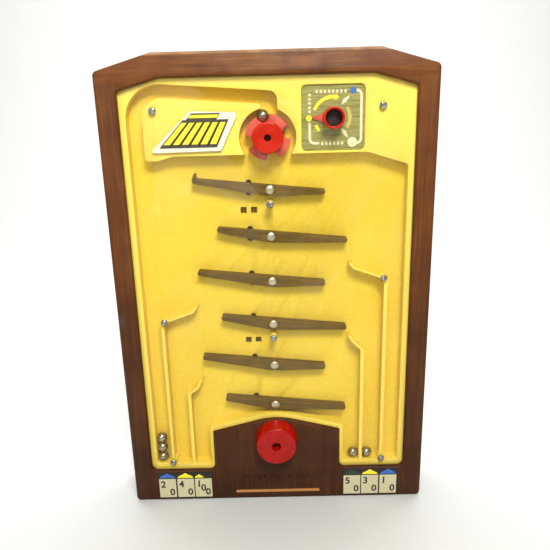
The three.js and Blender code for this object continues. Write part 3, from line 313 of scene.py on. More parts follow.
def rounded_bar(centre_x, centre_z, half_x, half_z, front, back, corner, edge):
    """A pillow-edged slab: its outline is a rounded rectangle given by angle, and the second
    parameter goes from the middle of the back, up the side, round the edge and in to the middle
    of the front."""
    angle = np.linspace(0, 2 * math.pi, 65)
    sharpness = 3
    corner_x = np.clip(np.cos(angle) * sharpness, -1, 1) * (half_x - corner)
    corner_z = np.clip(np.sin(angle) * sharpness, -1, 1) * (half_z - corner)
    inset = np.array([0, 0, 0, 0.3, 1, 1])
    way_down = np.array([back, back, front + edge, front + 0.3 * edge, front, front])
    share = np.array([0, 1, 1, 1, 1, 0])
    side_x = (corner_x + np.cos(angle) * corner)[:, None]
    side_z = (corner_z + np.sin(angle) * corner)[:, None]
    x = side_x * share - np.cos(angle)[:, None] * inset * edge * share
    z = side_z * share - np.sin(angle)[:, None] * inset * edge * share
    return np.stack([centre_x + x, np.broadcast_to(way_down, x.shape), centre_z + z], -1)


# The sunk panel on the apron has a plain moulded pattern in it: eight upright ribs.
panel_z = 0.0215
panel_floor = front_y + 0.0014
rib_half_width, rib_half_height, rib_rise = 0.0022, 0.0066, 0.0012
ribs = [rounded_bar(x, panel_z, rib_half_width, rib_half_height, panel_floor - rib_rise,
                    panel_floor, 0.0015, 0.0005)
        for x in np.linspace(-0.035, 0.035, 8)]
fit(surface("apron_panel_ribs", *ribs), case_plastic, "case")

# ==== The yellow tray ===========================================================================
# Butter-yellow polystyrene, moulded in one piece with its ball walls and screw posts. It is satin,
# a little cloudy from age, with small specks of dirt; its raised faces carry a painted highlight.
tray_plastic, tree, place = new_material("yellow_moulded_polystyrene")
cloud = add(tree, "ShaderNodeTexNoise", {
    "Vector": place, "Scale": 1 / 0.071, "Detail": 4.0, "Roughness": 0.55})
speck = add(tree, "ShaderNodeTexNoise", {"Vector": place, "Scale": 1 / 0.0038, "Detail": 2.0})
tint = add(tree, "ShaderNodeMath", {0: cloud.outputs["Fac"], 1: speck.outputs["Fac"]},
           operation="ADD")
half_tint = add(tree, "ShaderNodeMath", {0: tint.outputs["Value"], 1: 0.5}, operation="MULTIPLY")
rub = add(tree, "ShaderNodeMapRange", {
    "Value": cloud.outputs["Fac"], "From Min": 0.3, "From Max": 0.7, "To Min": 0.36, "To Max": 0.52})
tray_depth = add(tree, "ShaderNodeSeparateXYZ", {"Vector": place}).outputs["Y"]
butter = add(tree, "ShaderNodeValToRGB", {"Fac": half_tint.outputs["Value"]},
             [(0.35, "#D8B834"), (0.65, "#E2C446")]).outputs["Color"]
# Painted highlight: the raised faces nearest the cover, the tops of the walls and rim, are painted
# paler.
butter = tinted(tree, butter, "#E8CC58", between(tree, tray_depth, -0.02, -0.0139, 0.001))
grime = add(tree, "ShaderNodeTexNoise", {
    "Vector": place, "Scale": 1 / 0.013, "Detail": 6.0, "Roughness": 0.7})
grime_mask = add(tree, "ShaderNodeMapRange", {
    "Value": grime.outputs["Fac"], "From Min": 0.66, "From Max": 0.78, "To Max": 0.55})
butter = tinted(tree, butter, "#8A6A22", grime_mask.outputs["Result"])
shader = add(tree, "ShaderNodeBsdfPrincipled", {
    "Base Color": butter,
    "Roughness": rub.outputs["Result"],
    "IOR": polystyrene_ior,
    "Specular IOR Level": 0.1,
    "Normal": add(tree, "ShaderNodeBump", {
        "Height": speck.outputs["Fac"], "Strength": 0.05, "Distance": 0.0002}).outputs["Normal"],
})
add(tree, "ShaderNodeOutputMaterial", {"Surface": shader.outputs["BSDF"]})
moulded("playfield", tray_plastic, 0.0005)

# ==== The clear cover ===========================================================================
# A flat sheet of clear polystyrene, die cut, held down by eight screws. Years of wiping have left
# hazy swirls and hairline scratches in it, and it mirrors the room only where it is seen edge on.
# The hairlines are drawn 1.4 mm apart, coarser than real ones, so that they show.
clear_plastic, tree, place = new_material("clear_cast_polystyrene")
swirl = add(tree, "ShaderNodeTexNoise", {
    "Vector": place, "Scale": 1 / 0.11, "Detail": 5.0, "Roughness": 0.7, "Distortion": 1.5})
turned = add(tree, "ShaderNodeMapping", {
    "Vector": place, "Rotation": (0.0, 0.6, 0.0), "Scale": (1 / 0.0014, 1.0, 1 / 0.042)})
hair = add(tree, "ShaderNodeTexNoise", {
    "Vector": turned.outputs["Vector"], "Scale": 1.0, "Detail": 2.0})
hairline = add(tree, "ShaderNodeMapRange", {
    "Value": hair.outputs["Fac"], "From Min": 0.72, "From Max": 0.80, "To Max": 0.05})
haze = add(tree, "ShaderNodeMapRange", {
    "Value": swirl.outputs["Fac"], "From Min": 0.5, "From Max": 0.8, "To Max": 0.03})
veil = add(tree, "ShaderNodeMath", {0: haze.outputs["Result"], 1: hairline.outputs["Result"]},
           operation="ADD")
glass = add(tree, "ShaderNodeBsdfTransparent", {"Color": "#FEFEFC"})
dust = add(tree, "ShaderNodeBsdfDiffuse", {"Color": "#F4EFE2"})
dusty = add(tree, "ShaderNodeMixShader", {
    0: veil.outputs["Value"], 1: glass.outputs["BSDF"], 2: dust.outputs["BSDF"]})
gloss = add(tree, "ShaderNodeBsdfGlossy", {"Color": "#FFFFFF", "Roughness": 0.09})
slant = add(tree, "ShaderNodeLayerWeight", {"Blend": 0.5}).outputs["Facing"]
steep = add(tree, "ShaderNodeMath", {0: slant, 1: 5.0}, operation="POWER")
mirror = add(tree, "ShaderNodeMath", {0: steep.outputs["Value"], 1: 0.5, 2: 0.012},
             operation="MULTIPLY_ADD")
skin = add(tree, "ShaderNodeMixShader", {
    0: mirror.outputs["Value"], 1: dusty.outputs["Shader"], 2: gloss.outputs["BSDF"]})
add(tree, "ShaderNodeOutputMaterial", {"Surface": skin.outputs["Shader"]})
moulded("clear_cover", clear_plastic, 0.0002)

# ==== Screws ====================================================================================
# Zinc-plated steel pan-head screws with a cross recess, cold headed: a turned head with a stamped
# cross, and a plain shank. Eight hold the cover and six the back panel, deep in their tubes. The
# two in the knobs are black-oxide steel, whose near-black is also painted shade for the knobs'
# deep holes.


def fillet(corners, radii, steps=6):
    """A profile through (radius, depth) corners, each swept by an arc tangent to its two sides. The
    arc starts and ends radius x tan(turn / 2) from the corner. It is the exact circle, as the
    average of first, corner and last weighted (1-t)^2, 2t(1-t) cos(turn / 2) and t^2."""
    corners = np.array(corners, float)
    parts = [corners[:1]]
    for here, radius, before, after in zip(corners[1:-1], radii, corners[:-2], corners[2:]):
        into = (here - before) / np.linalg.norm(here - before)
        out = (after - here) / np.linalg.norm(after - here)
        turn = math.acos(float(np.clip(into @ out, -1, 1)))
        if radius == 0 or turn < 0.02:
            parts.append(here[None])
            continue
        reach = radius * math.tan(turn / 2)
        share = np.linspace(0, 1, steps + 1)[:, None]
        first = here - into * reach
        last = here + out * reach
        ends = (1 - share) ** 2 * first + share ** 2 * last
        middle = 2 * share * (1 - share) * math.cos(turn / 2)
        total = (1 - share) ** 2 + middle + share ** 2
        parts.append((ends + middle * here) / total)
    parts.append(corners[-1:])
    return np.concatenate(parts)


def turned_grid(profile, x, z, sides=64):
    """A profile of (radius, y) turned once about a line along Y through (x, z)."""
    angle = np.linspace(0, 2 * math.pi, sides + 1)[:, None]
    radius = profile[:, 0]
    depth = np.broadcast_to(profile[:, 1], (sides + 1, len(profile)))
    return np.stack([x + radius * np.cos(angle), depth, z + radius * np.sin(angle)], -1)


def middle_of(node):
    """The x and z of the middle of a CAD node's box."""
    low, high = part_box(node)
    return (low.x + high.x) / 2, (low.z + high.z) / 2


# Zinc-plated steel: a cool bright metal with a fine tumbled grain and dull spots. Its darker patches,
# spread at random over the whole screw, are painted shade standing in for the dark cross recesses.
# The grain is drawn 0.7 mm across, coarser than the real one, so that it shows.
zinc, tree, place = new_material("zinc_plated_steel")
fine = add(tree, "ShaderNodeTexNoise", {"Vector": place, "Scale": 1 / 0.00067, "Detail": 3.0})
painted_shade_patches = add(tree, "ShaderNodeTexNoise", {"Vector": place, "Scale": 1 / 0.0033, "Detail": 2.0})
plating_and_painted_shade = add(tree, "ShaderNodeValToRGB", {"Fac": painted_shade_patches.outputs["Fac"]},
              [(0.3, "#5C5C5C"), (0.65, "#AEAEAA")])
shader = add(tree, "ShaderNodeBsdfPrincipled", {
    "Base Color": plating_and_painted_shade.outputs["Color"],
    "Metallic": 1.0,
    "Roughness": add(tree, "ShaderNodeMapRange", {
        "Value": fine.outputs["Fac"], "To Min": 0.18, "To Max": 0.42}).outputs["Result"],
})
add(tree, "ShaderNodeOutputMaterial", {"Surface": shader.outputs["BSDF"]})


def mottled(name, size, detail, stops, roughness, constants=None):
    """A finish whose colour and roughness follow one noise: patches `size` metres wide run through
    the colour stops, and through the roughness from its low to its high value."""
    material, tree, place = new_material(name)
    patches = add(tree, "ShaderNodeTexNoise", {
        "Vector": place, "Scale": 1 / size, "Detail": detail}).outputs["Fac"]
    shader = add(tree, "ShaderNodeBsdfPrincipled", {
        "Base Color": add(tree, "ShaderNodeValToRGB", {"Fac": patches}, stops).outputs["Color"],
        "Roughness": add(tree, "ShaderNodeMapRange", {
            "Value": patches, "To Min": roughness[0], "To Max": roughness[1]}).outputs["Result"],
        **(constants or {})})
    add(tree, "ShaderNodeOutputMaterial", {"Surface": shader.outputs["BSDF"]})
    return material


# Black-oxide steel: a near-black film, worn to brown-grey where a driver has turned in the cross.
# Its near-black also stands in for the shade deep in the knobs' holes: painted shade.
black_oxide_and_hole_shade = mottled("black_oxide_steel_with_painted_hole_shade", 0.0013, 3.0,
                      [(0.35, "#1A1512"), (0.7, "#4A3A30")], (0.35, 0.6), {"Metallic": 0.8})


def pan_screw(node, way, finish=zinc):
    """A cross-head pan screw inside its CAD node's box: the head's dome is a profile turned about
    the screw's line, and the cross is sunk where the point lies within a slot's half width of
    either arm. `way` is 1 for a head at the front and -1 for one at the back."""
    low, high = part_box(node)
    x, z = middle_of(node)
    head = (high.x - low.x) / 2
    crown, tip = (low.y, high.y) if way > 0 else (high.y, low.y)
    usual_head, head_height, point = 0.0036, 0.0021, 0.0015
    scale = head / usual_head
    shank_radius = 0.0015 * scale
    under = crown + way * head_height
    dome = np.array([[0, 0], [0.5, 0.02], [0.66, 0.09], [0.8, 0.22], [0.92, 0.42], [1, 0.7], [1, 1]])
    cap = np.stack([dome[:, 0] * head, crown + way * head_height * dome[:, 1]], 1)
    rings = np.linspace(0, 1, 15)[1:, None] * [0.5 * head, way * head_height * 0.02] + [0, crown]
    shank = np.array([[shank_radius, under], [shank_radius, tip - way * point], [0, tip]])
    grid = turned_grid(np.concatenate([[[0, crown]], rings, cap[2:], shank]), x, z, 48)
    arm, slot_half, flank, sink, flat_top = 0.0017, 0.00052, 0.0002, 0.0009, 0.0003
    from_x = np.abs(grid[..., 0] - x) / scale
    from_z = np.abs(grid[..., 2] - z) / scale
    slot = np.minimum(np.where(from_z < arm, from_x, 1), np.where(from_x < arm, from_z, 1))
    near = np.abs(grid[..., 1] - crown) < flat_top
    sunk = np.clip((slot_half - slot) / flank, 0, 1) * near
    grid[..., 1] += way * sunk * sink * scale
    fit(surface(node + "_turned", grid), finish, body_of[node], node)


for number in range(1, 9):
    pan_screw(f"cover_screw_{number}", 1)
for number in range(1, 7):
    pan_screw(f"rear_screw_{number}", -1)
for node in ("steering_screw", "feeder_screw"):
    pan_screw(node, 1, black_oxide_and_hole_shade)

# ==== Pivot pins ================================================================================
# Nickel-plated brass pins with low domed heads, turned on a lathe, pushed into the tray. Satin
# from age, with a soft highlight on the dome.
nickel = mottled("satin_nickel_plated_brass", 0.0011, 3.0,
                 [(0.3, "#B9AE90"), (0.7, "#DDD6BE")], (0.32, 0.46), {"Metallic": 1.0})
head_height, dome_rise, stem_radius, point = 0.002, 0.0017, 0.0025, 0.001
swell = np.linspace(0, math.pi / 2, 12)
for number in range(1, 7):
    node = f"pivot_pin_{number}"
    low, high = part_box(node)
    head = (high.z - low.z) / 2
    under = low.y + head_height
    dome = np.stack([head * np.sin(swell), low.y + dome_rise * (1 - np.cos(swell))], 1)
    stem = [[head, under], [stem_radius, under], [stem_radius, high.y - point], [0, high.y]]
    profile = np.concatenate([dome, stem])
    pin = surface(node + "_turned", turned_grid(profile, *middle_of(node), 40))
    fit(pin, nickel, "case", node)

# ==== Beams and drive bar =======================================================================
# Olive-brown polystyrene mouldings. Each beam is one piece with its drive pin; its top edge is
# straight and its belly deepest at the pivot. Scuffed satin.
beam_plastic, tree, place = new_material("olive_moulded_polystyrene")
cloud = add(tree, "ShaderNodeTexNoise", {"Vector": place, "Scale": 1 / 0.014, "Detail": 4.0})
fine = add(tree, "ShaderNodeTexNoise", {"Vector": place, "Scale": 1 / 0.0014, "Detail": 2.0})
olive = add(tree, "ShaderNodeValToRGB", {"Fac": cloud.outputs["Fac"]},
            [(0.3, "#54400F"), (0.7, "#6A5018")])
shader = add(tree, "ShaderNodeBsdfPrincipled", {
    "Base Color": olive.outputs["Color"],
    "Roughness": add(tree, "ShaderNodeMapRange", {
        "Value": cloud.outputs["Fac"], "To Min": 0.38, "To Max": 0.58}).outputs["Result"],
    "IOR": polystyrene_ior,
    "Specular IOR Level": 0.15,
    "Normal": add(tree, "ShaderNodeBump", {
        "Height": fine.outputs["Fac"], "Strength": 0.08, "Distance": 0.0002}).outputs["Normal"],
})
add(tree, "ShaderNodeOutputMaterial", {"Surface": shader.outputs["BSDF"]})
for number in range(1, 7):
    moulded(f"rocker_beam_{number}", beam_plastic, 0.0004)
moulded("drive_bar", beam_plastic, 0.0003)

# ==== Steel balls ===============================================================================
# Six hardened and polished steel balls. They mirror the tray, so they look dark with a bright spot,
# and their warm colour is a painted reflection of the yellow tray.
ball_steel_with_painted_reflection = mottled("polished_ball_steel", 0.002, 3.0,
                     [(0.35, "#948A76"), (0.65, "#BCB198")], (0.16, 0.34), {"Metallic": 1.0})
turn = np.linspace(0, math.pi, 33)
for number in range(1, 7):
    node = f"steel_ball_{number}"
    low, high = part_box(node)
    radius = (high.y - low.y) / 2
    half_circle = np.stack([radius * np.sin(turn), (low.y + high.y) / 2 - radius * np.cos(turn)], 1)
    ball = surface(node + "_polished", turned_grid(half_circle, *middle_of(node), 48))
    fit(ball, ball_steel_with_painted_reflection, body_of[node], node)

# ==== Red steering knob =========================================================================
# A turned-looking knob of glossy red polystyrene, slightly tapered, with a radiused front edge and
# a deep hole down its middle for the screw. The shaft fits in a socket at its back.


def gloss_red(name, deep, light):
    """Glossy injection-moulded red: handling dulls it in patches, over a faint orange peel."""
    material, tree, place = new_material(name)
    cloud = add(tree, "ShaderNodeTexNoise", {
        "Vector": place, "Scale": 1 / 0.011, "Detail": 4.0}).outputs["Fac"]
    peel = add(tree, "ShaderNodeTexNoise", {"Vector": place, "Scale": 1 / 0.00083, "Detail": 2.0})
    shader = add(tree, "ShaderNodeBsdfPrincipled", {
        "Base Color": add(tree, "ShaderNodeValToRGB", {"Fac": cloud},
                          [(0.3, deep), (0.7, light)]).outputs["Color"],
        "Roughness": add(tree, "ShaderNodeMapRange", {
            "Value": cloud, "From Min": 0.3, "From Max": 0.7, "To Min": 0.16,
            "To Max": 0.34}).outputs["Result"],
        "IOR": polystyrene_ior,
        "Specular IOR Level": 0.2,
        "Normal": add(tree, "ShaderNodeBump", {
            "Height": peel.outputs["Fac"], "Strength": 0.04, "Distance": 0.0002}).outputs["Normal"],
    })
    add(tree, "ShaderNodeOutputMaterial", {"Surface": shader.outputs["BSDF"]})
    return material


def turned_piece(node, profile, finish, sides=96):
    """A turned moulding that stands for a round CAD node, about the middle of that node's box. Its
    profile is a closed ring that starts and ends on the back face, so its holes are real."""
    piece = surface(node + "_moulding", turned_grid(profile, *middle_of(node), sides))
    fit(piece, finish, body_of[node], node)


red_plastic = gloss_red("red_gloss_polystyrene", "#900500", "#A20A01")
low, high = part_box("steering_knob")
wide = (high.x - low.x) / 2
hole, pilot, shaft = 0.005, 0.0018, 0.0043
seat, socket = low.y + 0.0088, high.y - 0.0056
foot_lip, taper, on_back = 0.0003, 0.0023, 0.014
steering = fillet(
    [[on_back, high.y], [wide, high.y], [wide - foot_lip, high.y - 0.002], [wide - taper, low.y],
     [hole, low.y], [hole, seat], [pilot, seat], [pilot, socket], [shaft, socket],
     [shaft, high.y], [on_back, high.y]],
    [0.0002, 0, 0.0022, 0.0005, 0, 0, 0, 0, 0], 8)
turned_piece("steering_knob", steering[::-1], red_plastic)

# ==== Ball feeder ===============================================================================
# A red moulded wheel with four ball pockets, and the red winding knob on its face. The wheel shows
# through the cover, so it looks paler than the knob.
faded_red = gloss_red("sun_faded_red_polystyrene", "#A81A08", "#B8240E")
low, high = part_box("feeder_knob")
wide = (high.z - low.z) / 2
hole, pilot, shaft = 0.0034, 0.0016, 0.0028
seat, socket = low.y + 0.007, high.y - 0.0039
on_back = 0.009
winding = fillet(
    [[on_back, high.y], [wide, high.y], [wide, low.y], [hole, low.y], [hole, seat], [pilot, seat],
     [pilot, socket], [shaft, socket], [shaft, high.y], [on_back, high.y]],
    [0.0002, 0.0018, 0.0004, 0, 0, 0, 0, 0], 8)
turned_piece("feeder_knob", winding[::-1], faded_red)

# Red polystyrene seen under the hazy cover: the same red, dull, painted paler for the haze of
# light that the cover scatters over it.
red_with_painted_cover_haze = mottled("red_polystyrene_with_painted_cover_haze", 0.0083, 4.0,
                    [(0.3, "#B02C18"), (0.7, "#CC4828")], (0.4, 0.65), {"IOR": polystyrene_ior})
moulded("feeder_wheel", red_with_painted_cover_haze, 0.0006, 3)

# ==== Speed dial ================================================================================
# A printed foil plate sunk in the tray, a flat red pointer under the cover and an open red tube
# that turns it. The print is olive with a brushed grain, cream, yellow and blue inks.
low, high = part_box("speed_knob")
wide = (high.z - low.z) / 2
cover_back = front_y + 0.0063
base_back, base_thickness, wall, spindle = cover_back + 0.0002, 0.003, 0.002, 0.0032
floor_y = base_back - base_thickness
tube = fillet(
    [[0, floor_y], [wide - wall, floor_y], [wide - wall, low.y], [wide, low.y],
     [wide, floor_y + base_thickness], [spindle, floor_y + base_thickness], [spindle, high.y],
     [0, high.y]],
    [0.0003, 0.0005, 0.0006, 0, 0, 0], 5)
turned_piece("speed_knob", tube[::-1], faded_red)
moulded("speed_pointer", red_with_painted_cover_haze, 0.0003)

# Printed foil: olive ink over aluminium with brushed lines across it. They are drawn 1.1 mm apart,
# coarser than real brushing, so that they show.
printed_foil, tree, place = new_material("olive_printed_foil")
stretch = add(tree, "ShaderNodeMapping", {
    "Vector": place, "Scale": (1 / 0.025, 1 / 0.0011, 1 / 0.0011)})
lines = add(tree, "ShaderNodeTexNoise", {
    "Vector": stretch.outputs["Vector"], "Scale": 1.0, "Detail": 4.0})
brushed = add(tree, "ShaderNodeValToRGB", {"Fac": lines.outputs["Fac"]},
              [(0.3, "#6E6A2C"), (0.7, "#A6A058")])
shader = add(tree, "ShaderNodeBsdfPrincipled", {
    "Base Color": brushed.outputs["Color"],
    "Metallic": 0.35,
    "Roughness": add(tree, "ShaderNodeMapRange", {
        "Value": lines.outputs["Fac"], "To Min": 0.35, "To Max": 0.6}).outputs["Result"],
})
add(tree, "ShaderNodeOutputMaterial", {"Surface": shader.outputs["BSDF"]})
plate = frame["nodes"]["dial_plate"]
plate.data.materials.clear()
plate.data.materials.append(printed_foil)


def flat_film(name, material, body, *grids):
    """Printed marks of one ink, as one piece that faces the front and rides on a body."""
    piece = surface(name, *grids)
    facing = np.empty(len(piece.data.polygons) * 3)
    piece.data.polygons.foreach_get("normal", facing)
    backwards = np.flatnonzero(facing[1::3] > 0).tolist()
    work = bmesh.new()
    work.from_mesh(piece.data)
    work.faces.ensure_lookup_table()
    bmesh.ops.reverse_faces(work, faces=[work.faces[i] for i in backwards])
    work.to_mesh(piece.data)
    work.free()
    fit(piece, material, body)


# Painted shade at the bottom of the tube: a nearly black disc, lumpy and half matt, stands for the
# dark of the deep bore.
bore_shade_finish, tree, place = new_material("painted_shade_in_bore")
lumps = add(tree, "ShaderNodeTexNoise", {
    "Vector": place, "Scale": 1 / 0.0014, "Detail": 5.0}).outputs["Fac"]
black = add(tree, "ShaderNodeValToRGB", {"Fac": lumps}, [(0.35, "#0C0807"), (0.7, "#2E1A14")])
shader = add(tree, "ShaderNodeBsdfPrincipled", {
    "Base Color": black.outputs["Color"],
    "Roughness": add(tree, "ShaderNodeMapRange", {
        "Value": lumps, "To Min": 0.35, "To Max": 0.8}).outputs["Result"],
    "Normal": add(tree, "ShaderNodeBump", {
        "Height": lumps, "Strength": 0.4, "Distance": 0.0004}).outputs["Normal"],
})
add(tree, "ShaderNodeOutputMaterial", {"Surface": shader.outputs["BSDF"]})
bore_shade_ring = np.array([[0, floor_y - 0.0006], [wide - 0.0045, floor_y - 0.0005],
                   [wide - 0.00215, floor_y - 0.0001]])
flat_film("speed_knob_painted_shade", bore_shade_finish, "speed", turned_grid(bore_shade_ring, *middle_of("speed_knob")))


def ink(name, colour, second):
    """Screen-printed ink: a matt film whose tone wanders a little where the screen laid less."""
    return mottled(name, 0.0024, 3.0, [(0.35, colour), (0.65, second)], (0.45, 0.6))


cream_ink = ink("cream_screen_ink", "#CFC79C", "#DCD5AE")
yellow_ink = ink("yellow_screen_ink", "#E3D21C", "#EFDF30")
worn_yellow_ink = ink("worn_yellow_screen_ink", "#B4A850", "#C2B45C")
blue_ink = ink("blue_screen_ink", "#2C55A8", "#3A66B8")


def disc(x, z, radius, y):
    """A flat round dot: a ring of points on the rim and all of them at the centre."""
    angle = np.linspace(0, -2 * math.pi, 41)[:, None]
    reach = np.array([radius, 0.0])
    return np.stack([x + reach * np.cos(angle), np.full((41, 2), y), z + reach * np.sin(angle)], -1)


def band(line, width, y):
    """A flat band of even width along a line of (x, z) points: each point is moved to both sides
    along the line's own normal. The width may be one number or one for each point."""
    line = np.array(line, float)
    along = np.gradient(line, axis=0)
    along /= np.linalg.norm(along, axis=1, keepdims=True)
    half = np.broadcast_to(np.array(width) / 2, (len(line),))[:, None]
    normal = np.stack([-along[:, 1], along[:, 0]], 1) * half
    sides = np.stack([line + normal, line - normal])
    return np.stack([sides[..., 0], np.full(sides.shape[:2], y), sides[..., 1]], -1)


def arc(x, z, radius, start, end, steps=24):
    """Points round a centre, with angles in degrees from +X towards +Z."""
    angle = np.radians(np.linspace(start, end, steps))
    return np.stack([x + radius * np.cos(angle), z + radius * np.sin(angle)], 1)


# The print, given from the plate's middle. A film lies 0.06 mm proud, and a second ink a little more.
dial_x, dial_z = middle_of("dial_plate")
film, second_film = 0.00006, 0.00002
print_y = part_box("dial_plate")[0].y - film
over_y = print_y - second_film


def on_dial(*points):
    """Points given as (across, up) from the plate's middle, moved to where the plate is."""
    return np.array(points) + (dial_x, dial_z)


corner, frame_line = 0.0045, 0.0025
right_x, left_x = dial_x + 0.0275, dial_x - 0.0228
right_frame = np.concatenate([
    on_dial((0.0225, 0.0250)),
    arc(right_x - corner, dial_z + 0.0205, corner, 90, 0, 9),
    arc(right_x - corner, dial_z - 0.0200, corner, 0, -90, 9)])
left_frame = np.concatenate([
    [[left_x, dial_z - 0.0045]],
    arc(left_x + corner, dial_z - 0.0195, corner, 180, 270, 9),
    on_dial((-0.0135, -0.0240))])
# Rows of small blocks stand where a dial has words: each row is (up, first, last, how many).
block_half, block_height = 0.0011, 0.0030
blocks = [band([[x - block_half, dial_z + row], [x + block_half, dial_z + row]], block_height, print_y)
          for row, first, last, count in ((0.0245, -0.0158, 0.0120, 8), (-0.0243, -0.0105, 0.0090, 6))
          for x in np.linspace(dial_x + first, dial_x + last, count)]
dash_half, dash_height = 0.0013, 0.0022
blocks += [band([[left_x - dash_half, z], [left_x + dash_half, z]], dash_height, print_y)
           for z in np.linspace(dial_z + 0.0060, dial_z + 0.0215, 5)]
leaf_widths = [0.0012, 0.0042, 0.0008]
leaves = [
    band(on_dial((0.0085, 0.0125), (0.0115, 0.0160), (0.0160, 0.0200)), leaf_widths, print_y),
    band(on_dial((0.0085, -0.0105), (0.0110, -0.0140), (0.0145, -0.0190)), leaf_widths, print_y)]
flat_film("dial_cream_marks", cream_ink, "case",
          band(right_frame, frame_line, print_y),
          band(left_frame, frame_line, print_y),
          disc(dial_x + 0.0190, dial_z - 0.0236, 0.0048, over_y),
          *blocks, *leaves)
arrow_radius, shaft_steps = 0.0195, 24
flat_film("dial_yellow_marks", yellow_ink, "case",
          band(arc(dial_x, dial_z, arrow_radius, 158, 82, shaft_steps),
               np.linspace(0.0030, 0.0036, shaft_steps), print_y),
          band(arc(dial_x, dial_z, arrow_radius, 84, 72, 5),
               [0.0060, 0.0052, 0.0036, 0.0018, 0.0004], over_y),
          band(arc(dial_x, dial_z, 0.0180, 202, 222, 6), 0.0030, print_y),
          disc(dial_x - 0.0235, dial_z - 0.0002, 0.0028, print_y))
flat_film("dial_blue_dot", blue_ink, "case",
          disc(dial_x + 0.0195, dial_z + 0.0250, 0.0031, over_y))
flat_film("dial_faint_arc", worn_yellow_ink, "case",
          band(arc(dial_x, dial_z, 0.0165, 35, -35), 0.0034, print_y))

# ==== Title label ===============================================================================
# A slanted self-adhesive paper label on the cover, soft white and half matt. In place of a name it
# carries six plain slanted blocks, yellow with dark shadows, under a striped line.
paper = mottled("coated_label_paper", 0.0029, 4.0,
                [(0.3, "#CFCBB4"), (0.7, "#DAD6C0")], (0.45, 0.6))
grey_ink = ink("grey_brown_screen_ink", "#37331F", "#443F28")
label = frame["nodes"]["title_label"]
label.data.materials.clear()
label.data.materials.append(paper)
low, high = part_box("title_label")
shadow_y = low.y - film
yellow_y = shadow_y - 0.00004


def slanted(share_left, share_right, share_low, share_high, y):
    """A flat patch on the label: its place is given as shares of the label's slanted outline, whose
    foot ends 18 mm short of the right side and whose head starts 47 mm short of it."""
    side_margin, end_margin = 0.001, 0.0005
    foot_left, foot_right = low.x + side_margin, high.x - 0.018
    head_left, head_right = high.x - 0.047, high.x - side_margin
    share = np.array([[share_left, share_left], [share_right, share_right]])
    up = np.array([[share_low, share_high], [share_low, share_high]])
    foot = foot_left + (foot_right - foot_left) * share
    head = head_left + (head_right - head_left) * share
    x = foot + (head - foot) * up
    z = low.z + end_margin + (high.z - low.z - 2 * end_margin) * up
    return np.stack([x, np.full((2, 2), y), z], -1)[:, ::-1]


starts = np.linspace(0.05, 0.79, 6)
shadows = [slanted(start - 0.012, start + 0.148, 0.10, 0.80, shadow_y) for start in starts]
blocks = [slanted(start + 0.012, start + 0.112, 0.19, 0.73, yellow_y) for start in starts]
flat_film("title_dark_shadows", grey_ink, "case",
          slanted(0.10, 0.70, 0.80, 0.96, shadow_y), *shadows)
flat_film("title_yellow_blocks", yellow_ink, "case",
          slanted(0.115, 0.685, 0.845, 0.92, yellow_y), *blocks)

# ==== Score labels ==============================================================================
# Black printed film under the columns, with cream fields, stepped black figures and a coloured
# marker over each field.
black_ink = ink("black_screen_ink", "#12100E", "#1C1A16")
field_ink = ink("aged_cream_screen_ink", "#B9B28A", "#C6C09A")
green_ink = ink("dark_green_screen_ink", "#16301F", "#1E3B27")
field_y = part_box("score_label_left")[0].y - film
figure_y = field_y - film


def figure(text, height, x, z):
    """A printed figure: the font's outline as a flat mesh, scaled to a height and put at its middle."""
    curve = bpy.data.curves.new("figure", "FONT")
    curve.body = text
    curve.resolution_u = 6
    curve.offset = 0.028
    drawn = bpy.data.objects.new("figure", curve)
    bpy.context.collection.objects.link(drawn)
    bpy.context.view_layer.update()
    mesh = bpy.data.meshes.new_from_object(drawn.evaluated_get(bpy.context.evaluated_depsgraph_get()))
    bpy.data.objects.remove(drawn)
    points = np.empty(len(mesh.vertices) * 3)
    mesh.vertices.foreach_get("co", points)
    points = points.reshape(-1, 3)
    lowest, highest = points.min(0), points.max(0)
    scale = height / (highest[1] - lowest[1])
    middle = (lowest + highest) / 2
    placed = np.stack([
        x + (points[:, 0] - middle[0]) * scale,
        np.full(len(points), figure_y),
        z + (points[:, 1] - middle[1]) * scale], 1)
    mesh.vertices.foreach_set("co", placed.ravel())
    mesh.update()
    return mesh


def printed_figures(name, figures):
    """Several figures, (text, height, x, z), joined in one piece of black ink."""
    work = bmesh.new()
    for text, height, x, z in figures:
        mesh = figure(text, height, x, z)
        work.from_mesh(mesh)
        bpy.data.meshes.remove(mesh)
    joined = bpy.data.meshes.new(name)
    work.to_mesh(joined)
    work.free()
    piece = bpy.data.objects.new(name, joined)
    bpy.context.collection.objects.link(piece)
    fit(piece, black_ink, "case")


def peak(x, z, half, height, y):
    """A low triangle with a blunt top, as a band that narrows upwards."""
    line = [[x, z], [x, z + 0.35 * height], [x, z + 0.8 * height], [x, z + height]]
    return band(line, [2 * half, 1.7 * half, 0.5 * half, 0.2 * half], y)


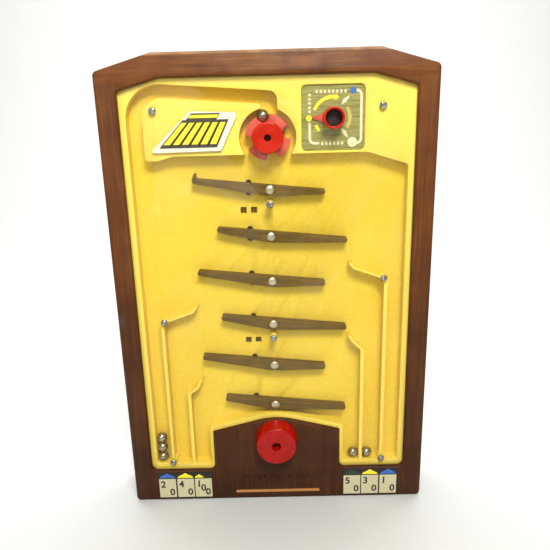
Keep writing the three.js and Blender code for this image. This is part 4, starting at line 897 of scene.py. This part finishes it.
cell_low, cell_high, cell_half = 0.0043, 0.0288, 0.00965
cell_middle, cell_tall = (cell_low + cell_high) / 2, cell_high - cell_low
figure_height, first_left, stride, first_up, fall = 0.0088, 0.0050, 0.0100, 0.0218, 0.0104
marker_z, marker_half, marker_rise = 0.0300, 0.0092, 0.0062
for side, middles, marks, numbers in (
        ("left", (-0.1273, -0.1063, -0.0858), (blue_ink, yellow_ink, yellow_ink), ("20", "40", "100")),
        ("right", (0.0858, 0.1063, 0.1273), (green_ink, yellow_ink, blue_ink), ("50", "30", "10"))):
    film_node = frame["nodes"][f"score_label_{side}"]
    film_node.data.materials.clear()
    film_node.data.materials.append(black_ink)
    fields = [band([[x - cell_half, cell_middle], [x + cell_half, cell_middle]], cell_tall, field_y)
              for x in middles]
    flat_film(f"score_fields_{side}", field_ink, "case", *fields)
    figures = []
    for x, number in zip(middles, numbers):
        steps = len(number) - 1
        figures += [(digit, figure_height, x - first_left + stride * i / steps,
                     first_up - fall * i / steps) for i, digit in enumerate(number)]
    printed_figures(f"score_figures_{side}", figures)
    for x, mark, number in zip(middles, marks, numbers):
        # The marker over the 100 is worn to a small piece at its left.
        shape = ((x - 0.0045, marker_z, 0.0052, 0.0044) if number == "100"
                 else (x, marker_z, marker_half, marker_rise))
        flat_film(f"score_marker_{number}", mark, "case", peak(*shape, field_y))

# ==== Clockwork =================================================================================
# Pressed and zinc-plated steel plates, spring and arbor, stamped brass wheels, and a nickel-plated
# crank, cam and lever. They sit behind the tray and keep their exact shapes. The brass is warm and
# half bright, with faint stains.
brass = mottled("stamped_brass", 0.0017, 3.0,
                [(0.3, "#A37C36"), (0.7, "#C9A458")], (0.25, 0.42), {"Metallic": 1.0})
for metal, nodes in (
        (zinc, ("motor_front_plate", "motor_rear_plate", "mainspring", "feeder_arbor")),
        (nickel, ("steering_crank", "speed_cam", "brake_lever")),
        (brass, ("great_wheel", "second_wheel", "governor"))):
    for node in nodes:
        mesh = frame["nodes"][node].data
        mesh.materials.clear()
        mesh.materials.append(metal)
